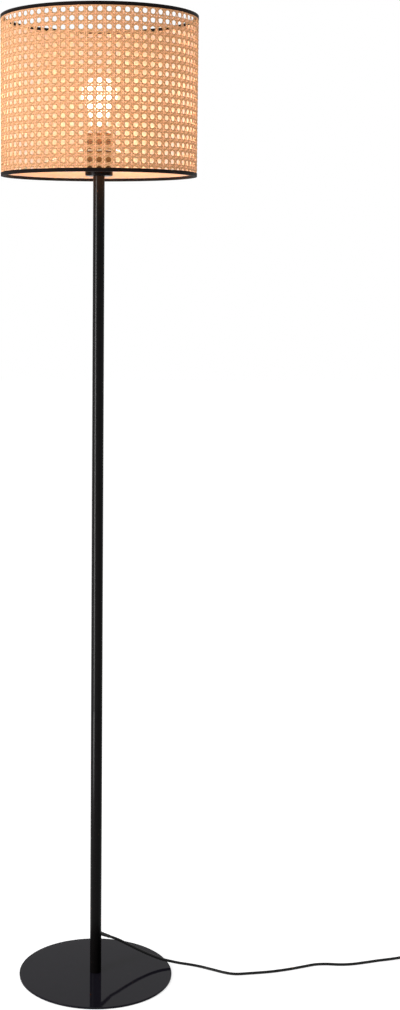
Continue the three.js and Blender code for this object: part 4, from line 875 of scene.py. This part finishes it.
TOP_RIM, BOTTOM_RIM = 152.5, 151.25
SHEET_INSET = 1.3  # of the sheet's middle from a rim's outer face
TRIM_EDGE = 5.9
COLUMNS = 70
COLUMN_TURN = FULL_TURN / COLUMNS
FIRST_COLUMN = 1.2 / 152 + COLUMN_TURN / 2  # a pair of uprights, from the front, by angle
ROW_PITCH = 12.75
FIRST_ROW = 1495.275
ROWS = 19
UPRIGHT = {"width": 3.0, "apart": 1.67, "thick": 1.05}
LEVEL = {"width": 2.65, "apart": 1.48, "thick": 1.05}
SLANT = {"width": 1.9, "apart": 0, "thick": 0.9}
WEAVE_RISE = 0.5  # of the pairs over and under each other
SLANT_RISE = 0.85
PAIR_SHARE = 0.11  # of a cell, from a pair's middle to each strand
STEPS = (-0.5, -0.3, -0.18, -0.11, -0.04, 0.04, 0.11, 0.18, 0.3)
SLANT_STEPS = 8
END_GAP = 0.8
GAP_WANDER = 0.12  # of a strand to and from the other of its pair
UPRIGHT_WANDER, LEVEL_WANDER = 0.1, 0.25  # of a strand from its lane or row
SLANT_WANDER = 0.012  # of a cell
WIDTH_WANDER = 0.08  # of a strand's width
PAINTED_GLOW_INSET = 1.75  # from the sheet's middle
MAP_LANE = 7  # from one strand to the next across the map


def sheet_radius(height):
    return np.interp(height, (SHADE_BOTTOM + TRIM_EDGE, LAMP_TOP - TRIM_EDGE),
                     (BOTTOM_RIM - SHEET_INSET, TOP_RIM - SHEET_INSET))


def over_under(phase):
    """From over to under as a strand passes a pair at phase 0, and back before the next pair."""
    near = -np.sin(np.clip(phase / PAIR_SHARE, -1, 1) * pi / 2)
    back = -np.sign(phase) * np.cos((np.abs(phase) - PAIR_SHARE) / (0.5 - PAIR_SHARE) * pi / 2)
    return np.where(np.abs(phase) <= PAIR_SHARE, near, back)


def flat_in_trim(height):
    """1 over the open sheet, and nearly 0 inside the trims."""
    low = np.clip((height - SHADE_BOTTOM - TRIM_EDGE + 1) / 3, 0.15, 1)
    high = np.clip((LAMP_TOP - TRIM_EDGE + 1 - height) / 3, 0.15, 1)
    return np.minimum(low, high)


def strand(path, width, thick, number, closed, flip):
    """A flat strand's points, faces, map and dips, along (angle, height, offset) rows of the sheet.

    The map's second value goes from 0 to 1 across the strand, or from 1 to 0 where flip is set.
    A dip is 0 on top of the other strands and 1 right under them.
    """
    angle, height, offset = path.T
    radius = sheet_radius(height)
    if closed:
        ahead, behind = np.roll(path, -1, 0), np.roll(path, 1, 0)
        turn = (ahead[:, 0] - behind[:, 0]) % FULL_TURN
    else:
        ahead, behind = np.vstack([path[1:], path[-1:]]), np.vstack([path[:1], path[:-1]])
        turn = ahead[:, 0] - behind[:, 0]
    along = np.stack([turn * radius, ahead[:, 1] - behind[:, 1]], 1)
    along /= np.linalg.norm(along, axis=1)[:, None]
    across = np.stack([-along[:, 1], along[:, 0]], 1)
    side = np.array([-0.5, 0, 0.5, 0])
    proud = np.array([0, -0.5, 0, 0.5])
    reach = side[None, :] * width[:, None]
    a = angle[:, None] + across[:, :1] * reach / radius[:, None]
    z = height[:, None] + across[:, 1:] * reach
    r = sheet_radius(z) + offset[:, None] + proud[None, :] * thick
    points = np.stack([r * np.cos(a), r * np.sin(a), z], 2).reshape(-1, 3) * MM
    count, corners = len(path), len(side)
    spans = count if closed else count - 1
    i, k = np.meshgrid(np.arange(spans), np.arange(corners), indexing="ij")
    low, high, after = i * corners, (i + 1) % count * corners, (k + 1) % corners
    faces = np.stack([low + k, low + after, high + after, high + k], 2).reshape(-1, 4)
    step = np.linalg.norm(np.diff(np.stack([angle * radius, height], 1), axis=0), axis=1)
    reached = np.concatenate([[0], np.cumsum(step)]) * MM
    if closed:
        reached = np.append(reached, reached[-1] + step[0] * MM)
    else:
        faces = np.vstack([faces, [[3, 2, 1, 0]], (count - 1) * corners + np.array([[0, 1, 2, 3]])])
    flat = np.array([1, 0.5, 0, 0.5] if flip else [0, 0.5, 1, 0.5])
    u = np.stack([reached[i], reached[i], reached[i + 1], reached[i + 1]], 2).reshape(-1, 4)
    v = number * MAP_LANE + np.stack([flat[k], flat[after], flat[after], flat[k]], 2).reshape(-1, 4)
    uv = np.stack([u, v], 2)
    if not closed:
        uv = np.vstack([uv, uv[:1], uv[-1:]])
    dip = np.repeat(np.clip(-offset / WEAVE_RISE, 0, 1), corners)
    return points, faces, uv, dip


def woven(name, strands, material):
    """One mesh out of many strands."""
    shift, points, faces, maps, dips = 0, [], [], [], []
    for strand_points, strand_faces, uv, dip in strands:
        points.append(strand_points)
        faces.append(strand_faces + shift)
        maps.append(uv)
        dips.append(dip)
        shift += len(strand_points)
    points, faces, maps, dips = np.vstack(points), np.vstack(faces), np.vstack(maps), np.concatenate(dips)
    mesh = bpy.data.meshes.new(name)
    mesh.from_pydata(points.tolist(), [], faces.tolist())
    layer = mesh.uv_layers.new(name=STRAND_MAP)
    layer.uv.foreach_set("vector", maps.reshape(-1).astype(np.float32))
    mesh.attributes.new(DIP, "FLOAT", "POINT").data.foreach_set("value", dips.astype(np.float32))
    mesh.update()
    mesh.shade_smooth()
    return dress(placed(name, mesh), "cane", "cane_shade", material=material)


def drift(rng, position, size, waves=(2, 3, 5)):
    """A slow wander that closes on itself over a position from 0 to 1."""
    phases = rng.uniform(0, FULL_TURN, len(waves))
    return size * sum(np.sin(position * FULL_TURN * w + p) for w, p in zip(waves, phases)) / len(waves)


def rows_up(cells):
    """The cells within the sheet from the bottom up, with their heights and their shares of the way."""
    low, high = SHADE_BOTTOM + END_GAP, LAMP_TOP - END_GAP
    heights = FIRST_ROW - ROW_PITCH * cells
    inside = (heights > low) & (heights < high)
    heights, cells = heights[inside][::-1], cells[inside][::-1]
    return cells, heights, (heights - low) / (high - low)


def uprights(rng):
    cells, heights, share = rows_up(np.concatenate([row + np.array(STEPS) for row in range(-1, ROWS + 1)]))
    rise = WEAVE_RISE * over_under((cells + 0.5) % 1 - 0.5) * flat_in_trim(heights)
    for column in range(COLUMNS):
        for side in (-1, 1):
            apart = side * (UPRIGHT["apart"] + drift(rng, share, GAP_WANDER))
            apart += drift(rng, share, UPRIGHT_WANDER, (1, 2))
            angle = FRONT + FIRST_COLUMN + column * COLUMN_TURN + apart / sheet_radius(heights)
            width = UPRIGHT["width"] * (1 + drift(rng, share, WIDTH_WANDER, (4, 7)))
            path = np.stack([angle, heights, side * rise], 1)
            yield path, width, UPRIGHT["thick"], side > 0


def rounds(rng):
    cells = np.concatenate([column + np.array(STEPS) for column in range(COLUMNS)])
    share = cells / COLUMNS
    rise = WEAVE_RISE * over_under((cells + 0.5) % 1 - 0.5)
    angle = FRONT + FIRST_COLUMN + cells * COLUMN_TURN
    for row in range(ROWS):
        for side in (-1, 1):
            apart = side * (LEVEL["apart"] + drift(rng, share, GAP_WANDER, (3, 7, 11)))
            height = FIRST_ROW - ROW_PITCH * row - apart + drift(rng, share, LEVEL_WANDER)
            width = LEVEL["width"] * (1 + drift(rng, share, WIDTH_WANDER, (9, 13)))
            path = np.stack([angle, height, side * rise * flat_in_trim(height)], 1)
            yield path, width, LEVEL["thick"], side > 0


def slants(rng):
    cells, heights, share = rows_up(np.arange(-SLANT_STEPS, (ROWS + 1) * SLANT_STEPS) / SLANT_STEPS)
    for lean in (1, -1):
        along = lean * cells + 0.5
        rise = lean * SLANT_RISE * np.cos(along * FULL_TURN) * flat_in_trim(heights)
        for column in range(COLUMNS):
            angle = FRONT + FIRST_COLUMN + (column + along + drift(rng, share, SLANT_WANDER)) * COLUMN_TURN
            width = SLANT["width"] * (1 + drift(rng, share, WIDTH_WANDER, (4, 7)))
            yield np.stack([angle, heights, rise], 1), width, SLANT["thick"], False


def cane_webbing():
    rng = np.random.default_rng(12)
    for name, paths, material in (("cane_uprights", uprights, "uprights"), ("cane_rounds", rounds, "rounds"),
                                  ("cane_slants", slants, "diagonals")):
        strands = [strand(path, width, thick, number, paths is rounds, flip)
                   for number, (path, width, thick, flip) in enumerate(paths(rng))]
        woven(name, strands, CANES[material])


# Rims, wire rings and the shade's fitting ring

TRIM_WALL, TRIM_WIDTH, TRIM_HEIGHT = 0.5, 5.9, 5.6
TOP_LIP, BOTTOM_LIP = 5.2, 4.6  # the trims' heights on the inside
TRIM_WANDER = 0.35  # of the trims' edges, up and down
TRIM_WAVES = (5, 9, 14, 23, 31, 47)  # waves round an edge
WIRE_INSET, WIRE_RISE, RING_WIRE_RADIUS = 3.6, 2.3, 1.5


def rim_trim(name, rim, height, up, lip, node, seed):
    """A channel of edging tape over a rim, with edges that wander a little."""
    inner = rim - TRIM_WIDTH
    edge, lip, floor = height + up * TRIM_HEIGHT, height + up * lip, height + up * TRIM_WALL
    corners = [(rim, height), (rim, edge), (rim - TRIM_WALL, edge), (rim - TRIM_WALL, floor),
               (inner + TRIM_WALL, floor), (inner + TRIM_WALL, lip), (inner, lip), (inner, height)]
    profile = eased(corners if up > 0 else corners[::-1], 0.25, 2)
    points, faces = lathe(profile, 384)
    rng = np.random.default_rng(seed)
    outer_wander = rng.uniform(0, FULL_TURN, len(TRIM_WAVES))
    inner_wander = rng.uniform(0, FULL_TURN, len(TRIM_WAVES))
    for p in points:
        turn = np.arctan2(p.y, p.x)
        share = min(1, abs(p.z / MM - height) / TRIM_HEIGHT) ** 2
        phases = outer_wander if hypot(p.x, p.y) / MM > rim - TRIM_WIDTH / 2 else inner_wander
        shift = sum(sin(turn * w + q) for w, q in zip(TRIM_WAVES, phases)) / len(TRIM_WAVES)
        p.z -= up * TRIM_WANDER * MM * share * (0.5 + shift)
    dress(mesh_piece(name, points, faces), "rim_trim", node)


def wire_ring(name, rim, height, node):
    section = [(rim - WIRE_INSET + RING_WIRE_RADIUS * cos(a), height + RING_WIRE_RADIUS * sin(a))
               for a in np.arange(12) / 12 * FULL_TURN]
    dress(turned(name, section, sides=160, ease=0), "rim_wire", node)


def fitting_ring():
    plate = [(20.2, 37.7), (26.4, 37.7), (26.4, 39.5), (20.2, 39.5)]
    parts = [lathe(eased(raised(plate, CUP_BOTTOM), 0.5), HOLDER_SIDES)]
    middle = CUP_BOTTOM + 38.6
    for arm in range(3):
        turn = Matrix.Rotation(pi / 2 + arm * FULL_TURN / 3, 3, "Z")
        route = [mm(24.2, 0, middle), mm(27.6, 0, middle), mm(30.6, 0, middle - 0.5),
                 mm(88, 0, middle - 18.9), mm(146.4, 0, SHADE_BOTTOM + WIRE_RISE + 0.65)]
        path = [route[0], *smooth_path(route[1:3], 4), *route[3:]]
        parts.append(swept([turn @ p for p in path], 1.3 * MM, 20))
        weld = smooth_path([mm(25.2, 0, middle), mm(27.2, 0, middle)], 3)
        parts.append(swept([turn @ p for p in weld], [1.3 * MM, 1.9 * MM, 1.9 * MM, 1.3 * MM], 16))
    dress(mesh_piece("fitting_ring_with_arms", *together(*parts)), "white_enamel", "shade_fitter")


def painted_inner_glow():
    """A sheet inside the webbing that carries a painted glow. It shows on the side facing the bulb."""
    low, high = SHADE_BOTTOM + TRIM_HEIGHT - 1, LAMP_TOP - TRIM_HEIGHT + 1
    sides, rows = 210, 24
    points = []
    for row in range(rows + 1):
        height = low + (high - low) * row / rows
        for side in range(sides):
            turn = side / sides * FULL_TURN
            wave = 0.1 * sin(turn * 35 + 1) * sin(row * 1.3) + 0.08 * sin(turn * 13 + row)
            radius = sheet_radius(height) - PAINTED_GLOW_INSET + wave
            points.append(mm(radius * cos(turn), radius * sin(turn), height))
    faces = [(a, d, c, b) for a, b, c, d in ring_faces(rows + 1, sides)]  # turned to face inwards
    glow_sheet = dress(mesh_piece("painted_glow_sheet", points, faces), "cane", "cane_shade", material=painted_glow_finish())
    glow_sheet.visible_diffuse = glow_sheet.visible_glossy = glow_sheet.visible_shadow = False


def shade():
    cane_webbing()
    painted_inner_glow()
    rim_trim("top_edging", TOP_RIM, LAMP_TOP, -1, TOP_LIP, "top_trim", 3)
    rim_trim("bottom_edging", BOTTOM_RIM, SHADE_BOTTOM, 1, BOTTOM_LIP, "bottom_trim", 4)
    wire_ring("top_hoop", TOP_RIM, LAMP_TOP - WIRE_RISE, "top_wire_ring")
    wire_ring("bottom_hoop", BOTTOM_RIM, SHADE_BOTTOM + WIRE_RISE, "bottom_wire_ring")
    fitting_ring()


lampholder()
bulb()
shade()


# Foot switch

SWITCH_LENGTH, SWITCH_WIDTH, SWITCH_CORNER = 84, 42, 12
COVER_TOP = 19.6
SPRING_RADIUS, SPRING_WIRE = 4.55, 0.45  # to the middle of the wire, and the wire's own radius
SPRING_CURLS, CURL_STEPS = 5, 24


def switch_outline(inset):
    length, width = SWITCH_LENGTH - inset * 2, SWITCH_WIDTH - inset * 2
    return rounded_outline(length, width, SWITCH_CORNER - inset, steps=10)


def switch_cutter(name, profile):
    """An upright lathe shape on the switch's middle."""
    piece = mesh_piece(name, *lathe(profile, 64))
    piece.location = mm(*SWITCH_CENTRE, 0)
    return piece


def cord_way():
    """The hole through both end walls."""
    reach, radius = SWITCH_LENGTH / 2 + 4, 4.3
    way = [(0, -reach), (radius, -reach), (radius, reach), (0, reach)]
    return rod("way", way, 32, mm(*SWITCH_CENTRE, SWITCH_JOINT))


def button_spring():
    """The spring under the button, drawn at its length at rest."""
    low, high = (corner.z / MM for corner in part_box("switch_spring"))
    steps = SPRING_CURLS * CURL_STEPS
    path = []
    for step in range(steps + 1):
        angle = step / CURL_STEPS * FULL_TURN
        rise = low + SPRING_WIRE + step / steps * (high - low - SPRING_WIRE * 2)
        path.append(mm(*SWITCH_CENTRE, rise) + mm(cos(angle), sin(angle), 0) * SPRING_RADIUS)
    spring = mesh_piece("button_spring", *swept(path, SPRING_WIRE * MM, 12, Vector((1, 0, 0))))
    dress(spring, "plated_steel", "switch_spring")
    tuple(mm(*SWITCH_CENTRE, low))
    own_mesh(spring)
    return spring


def foot_switch():
    pad = [(switch_outline(1.5), 0), (switch_outline(1.5), 0.8)]
    pieces = [dress(stacked("switch_foam_pad", pad, SWITCH_CENTRE), "black_rubber", "switch_pad")]

    tray = stacked("switch_tray", eased_levels(switch_outline, 0.85, SWITCH_JOINT, 0.8, 0.3), SWITCH_CENTRE)
    pocket = stacked("pocket", [(switch_outline(2), 2.85), (switch_outline(2), 12)], SWITCH_CENTRE)
    pieces.append(dress(carved(tray, pocket, cord_way()), "switch_plastic", "switch_base"))

    hood = eased_levels(switch_outline, 7.9, COVER_TOP, 0.3, 3.0, steps=7)
    cover = stacked("switch_hood", hood, SWITCH_CENTRE)
    room = [(switch_outline(2), 4), (switch_outline(2), 14.6), (switch_outline(3.5), 17.6)]
    pocket = stacked("pocket", room, SWITCH_CENTRE)
    dish = switch_cutter("dish", [(0, 19.1), (13.6, 19.1), (14.6, 23), (0, 23)])
    hole = switch_cutter("hole", [(0, 14), (12.3, 14), (12.3, 24), (0, 24)])
    pieces.append(dress(carved(cover, pocket, cord_way(), dish, hole), "switch_plastic", "switch_cover"))

    button = [(0, 22.7), (9.6, 22.7), (9.6, 15.55), (14, 15.55), (14, 17.55), (12, 17.55), (12, 23.9),
              (10.8, 24.75), (8.4, 24.75), (8.1, 24.5), (7.4, 24.5), (7.1, 24.85), (4, 25.02), (0, 25.1)]
    cap = turned("switch_push_button", button, sides=80, ease=0.35)
    cap.location = mm(*SWITCH_CENTRE, 0)
    dress(cap, "button_plastic", "switch_button", body="button")

    pieces.append(button_spring())

    centre = mm(*SWITCH_CENTRE, SWITCH_JOINT)
    for name, side, node in (("boot_towards_pole", -1, "switch_boot_in"),
                             ("boot_towards_plug", 1, "switch_boot_out")):
        flange = [(0, -3.5), (4.7, -3.5), (4.7, -2.35), (4, -2.35)]
        points, faces = about_x(eased(flange + ribbed_taper(25, 4, 2.6, 6)[2:], 0.2, 2), 40)
        points = [centre + Vector(((p.x + SWITCH_LENGTH / 2 * MM) * side, p.y * side, p.z))
                  for p in points]
        pieces.append(dress(mesh_piece(name, points, faces), "black_rubber", node))
    return pieces


# Coil tie and plug

TIE_WIDTH, TIE_THICKNESS, TIE_CORNER = 8, 0.5, 2.5
TIE_PLACE = (-25, 0, 0)  # from the coil's centre
BUNDLE_WIDTH, BUNDLE_HEIGHT = 20.5, 10.7
PLUG_ROOT = (604, -66.5)
PLUG_LENGTH, PLUG_THICKNESS, PLUG_BEVEL = 36, 13.7, 1.6
PIN_PLACE = 9.3  # from the plug's middle


def coil_tie():
    """A strap round the turns. Its end laps over its start on top of the bundle."""
    half = TIE_THICKNESS / 2
    width, height = BUNDLE_WIDTH - TIE_THICKNESS, BUNDLE_HEIGHT - TIE_THICKNESS
    outline = rounded_outline(width, height, TIE_CORNER - half, steps=5)
    closed = [Vector((x, 0, z + BUNDLE_HEIGHT / 2)) for x, z in outline]
    lap = [Vector((closed[0].x * share, 0, closed[6].z + TIE_THICKNESS * rise))
           for share, rise in ((0.55, 0.5), (0.4, 1.05), (0.1, 1.05), (-0.3, 1.05))]
    route = [*closed[6:], *closed[:6], closed[6] * 0.96 + lap[0] * 0.04, *lap]
    strap = [(-TIE_WIDTH / 2, -half), (TIE_WIDTH / 2, -half), (TIE_WIDTH / 2, half), (-TIE_WIDTH / 2, half)]
    strap = eased(strap, 0.2, 2, loop=True)
    points = []
    centre = COIL_CENTRE + Vector(TIE_PLACE)
    for i, place in enumerate(route):
        along = (route[min(i + 1, len(route) - 1)] - route[max(i - 1, 0)]).normalized()
        out = Vector((along.z, 0, -along.x))
        points += [(centre + place + Vector((0, y, 0)) + out * n) * MM for y, n in strap]
    count = len(route), len(strap)
    faces = [*ring_faces(*count), *end_faces(*count)]
    return dress(mesh_piece("coil_strap", points, faces), "black_rubber", "coil_tie")


def plug_outline(inset):
    """Half the outline, from the root to the face, with grip notches where the sides draw in."""
    neck, half = 7.5 - inset, 17.5 - inset
    root, face, shoulder = -inset, -PLUG_LENGTH + inset, -0.45 * PLUG_LENGTH
    side = [(root, neck)]
    for notch in range(4):
        for share, depth in ((0.0, 0), (0.25, 0), (0.5, 0.55), (0.75, 0)):
            along = 0.16 + (notch + share) * 0.16
            side.append((root + (shoulder - root) * along, neck + (half - neck) * along - depth))
    side += [(shoulder, half), (face, half)]
    outline = side + [(x, -y) for x, y in reversed(side)]
    return eased(outline, 0.8, 3, loop=True)


def plug():
    levels = eased_levels(plug_outline, 0, PLUG_THICKNESS, PLUG_BEVEL, PLUG_BEVEL)
    body = dress(stacked("plug_moulding", levels, PLUG_ROOT), "switch_plastic", "plug_body")

    middle = mm(*PLUG_ROOT, PLUG_THICKNESS / 2)
    taper = eased(ribbed_taper(28, 4.5, 2.6, 7, tail=-0.3), 0.2, 2)
    boot = rod("plug_strain_relief", taper, 40, middle)
    pieces = [body, dress(boot, "black_rubber", "plug_boot")]
    face = middle - mm(PLUG_LENGTH, 0, 0)
    for side, node in ((1, "plug_pin_1"), (-1, "plug_pin_2")):
        pin = [(0, 4), (2, 4), (2, -16.6), (1.6, -18.2), (0.9, -19), (0, -19)]
        place = face + mm(0, PIN_PLACE * side, 0)
        pieces.append(dress(rod(f"round_pin_{node[-1]}", eased(pin[::-1], 0.3), 32, place), "brass", node))
        sleeve = eased([(2.02, -10), (2.25, -10), (2.25, 0.5), (2.02, 0.5)], 0.1, 2)
        pieces.append(dress(rod(f"pin_sleeve_{node[-1]}", sleeve, 32, place), "switch_plastic"))
    return pieces


switch_pieces = foot_switch()
tie = coil_tie()
plug_pieces = plug()


# The solids inside the lamp keep their own shape and take their slot's finish

KEPT_SOLIDS = {
    "plated_steel": ["pole_foot_plug", "middle_coupler", "upper_coupler", "pole_head_plug", "nipple",
                     "nipple_nut", "terminal_screw_1", "terminal_screw_2", "switch_screw_1",
                     "switch_screw_2"],
    "brass": ["screw_shell", "centre_contact"],
    "ceramic": ["terminal_block", "switch_contact_block"],
    "holder_plastic": ["holder_base"],
    "cord_sheath": ["inner_cord"],
    "brown_insulation": ["live_wire"],
    "blue_insulation": ["neutral_wire"],
    "clear_glass": ["bulb_stem"],
}


def finish_kept_solids():
    for slot, names in KEPT_SOLIDS.items():
        for name in names:
            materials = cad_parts[name].data.materials
            materials.clear()
            materials.append(FINISHES[slot])
    dressed = {name for names in KEPT_SOLIDS.values() for name in names}
    missing = [n for n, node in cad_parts.items() if not node.hide_render and n not in dressed]
    assert not missing, f"solids without a finish: {missing}"


finish_kept_solids()


# Floor, world and lamps

SOFTBOX = {"place": (-2.2, -1.72, 1.15), "size": (0.8, 2.2), "watts": 62}
FILL = {"place": (2.4, -1.0, 1.3), "size": (0.5, 2.0), "watts": 4}
STREAK = {"place": (-1.0, -0.7, 0.9), "size": (0.3, 1.7), "watts": 54}
LAMP_MIDDLE = (0, 0, 1.0)
WORLD_LIGHT = 0.38
FLOOR_REACH, FLOOR_GLOW = 12, 0.68
BULB_LIGHT = {"watts": 3.4, "colour": (1.0, 0.96, 0.82), "radius": 0.018}


def seen(tree):
    """1 for rays from the camera, a mirror or through glass."""
    rays = put(tree, "ShaderNodeLightPath").outputs
    mirrored = calc(tree, "MAXIMUM", rays["Is Glossy Ray"], rays["Is Transmission Ray"])
    return calc(tree, "MAXIMUM", rays["Is Camera Ray"], mirrored)


def make_floor():
    mesh = bpy.data.meshes.new("floor")
    corners = [(x * FLOOR_REACH, y * FLOOR_REACH, 0) for x, y in ((-1, -1), (1, -1), (1, 1), (-1, 1))]
    mesh.from_pydata(corners, [], [(0, 1, 2, 3)])
    material = bpy.data.materials.new("studio_floor")
    material.use_nodes = True
    tree = material.node_tree
    principled = tree.nodes["Principled BSDF"]
    principled.inputs["Roughness"].default_value = 0.9
    principled.inputs["Specular IOR Level"].default_value = 0.1
    mottle = noise(tree, object_place(tree), 3.0, detail=3.0)
    colour = blended(tree, mottle, (0.86, 0.86, 0.86, 1), (0.9, 0.9, 0.9, 1))
    tree.links.new(colour, principled.inputs["Base Color"])
    principled.inputs["Emission Color"].default_value = WHITE
    tree.links.new(calc(tree, "MULTIPLY", seen(tree), FLOOR_GLOW), principled.inputs["Emission Strength"])
    mesh.materials.append(material)
    placed("floor", mesh)


def make_world():
    world = bpy.data.worlds.new("studio")
    bpy.context.scene.world = world
    world.use_nodes = True
    tree = world.node_tree
    background = tree.nodes["Background"]
    background.inputs["Color"].default_value = WHITE
    level = put(tree, "ShaderNodeMapRange", {0: seen(tree), 3: WORLD_LIGHT, 4: 1.0}).outputs[0]
    tree.links.new(level, background.inputs["Strength"])


def make_lamp(name, place, size, watts, only=()):
    """A soft rectangular lamp, turned to the floor lamp. only names the pieces it lights, if not all."""
    data = bpy.data.lights.new(name, "AREA")
    data.shape = "RECTANGLE"
    data.size, data.size_y = size
    data.energy = watts
    lamp = placed(name, data)
    lamp.location = place
    lamp.rotation_euler = (Vector(LAMP_MIDDLE) - Vector(place)).to_track_quat("-Z", "Y").to_euler()
    if only:
        lit = bpy.data.collections.new(f"lit_by_{name}")
        for piece in only:
            lit.objects.link(bpy.data.objects[piece])
        lamp.light_linking.receiver_collection = lit


def light_bulb():
    """The bulb's light on what stands round it, apart from its own glass and the sheet with the painted glow.
    """
    data = bpy.data.lights.new("bulb_light", "POINT")
    data.energy = BULB_LIGHT["watts"]
    data.color = BULB_LIGHT["colour"]
    data.shadow_soft_size = BULB_LIGHT["radius"]
    lamp = placed("bulb_light", data)
    lamp.location = BULB_CENTRE
    bpy.data.objects["frosted_globe"].visible_shadow = False
    left_out = bpy.data.collections.new("unlit_by_bulb")
    for piece in ("frosted_globe", "painted_glow_sheet"):
        left_out.objects.link(bpy.data.objects[piece])
    for member in left_out.collection_objects:
        member.light_linking.link_state = "EXCLUDE"
    lamp.light_linking.receiver_collection = left_out


make_floor()
make_world()
make_lamp("softbox", **SOFTBOX)
make_lamp("fill", **FILL)
make_lamp("streak", **STREAK, only=("pole_tube_lower", "pole_tube_middle", "pole_tube_upper", "cup_shell"))
light_bulb()
bpy.context.scene.view_settings.view_transform = "Standard"
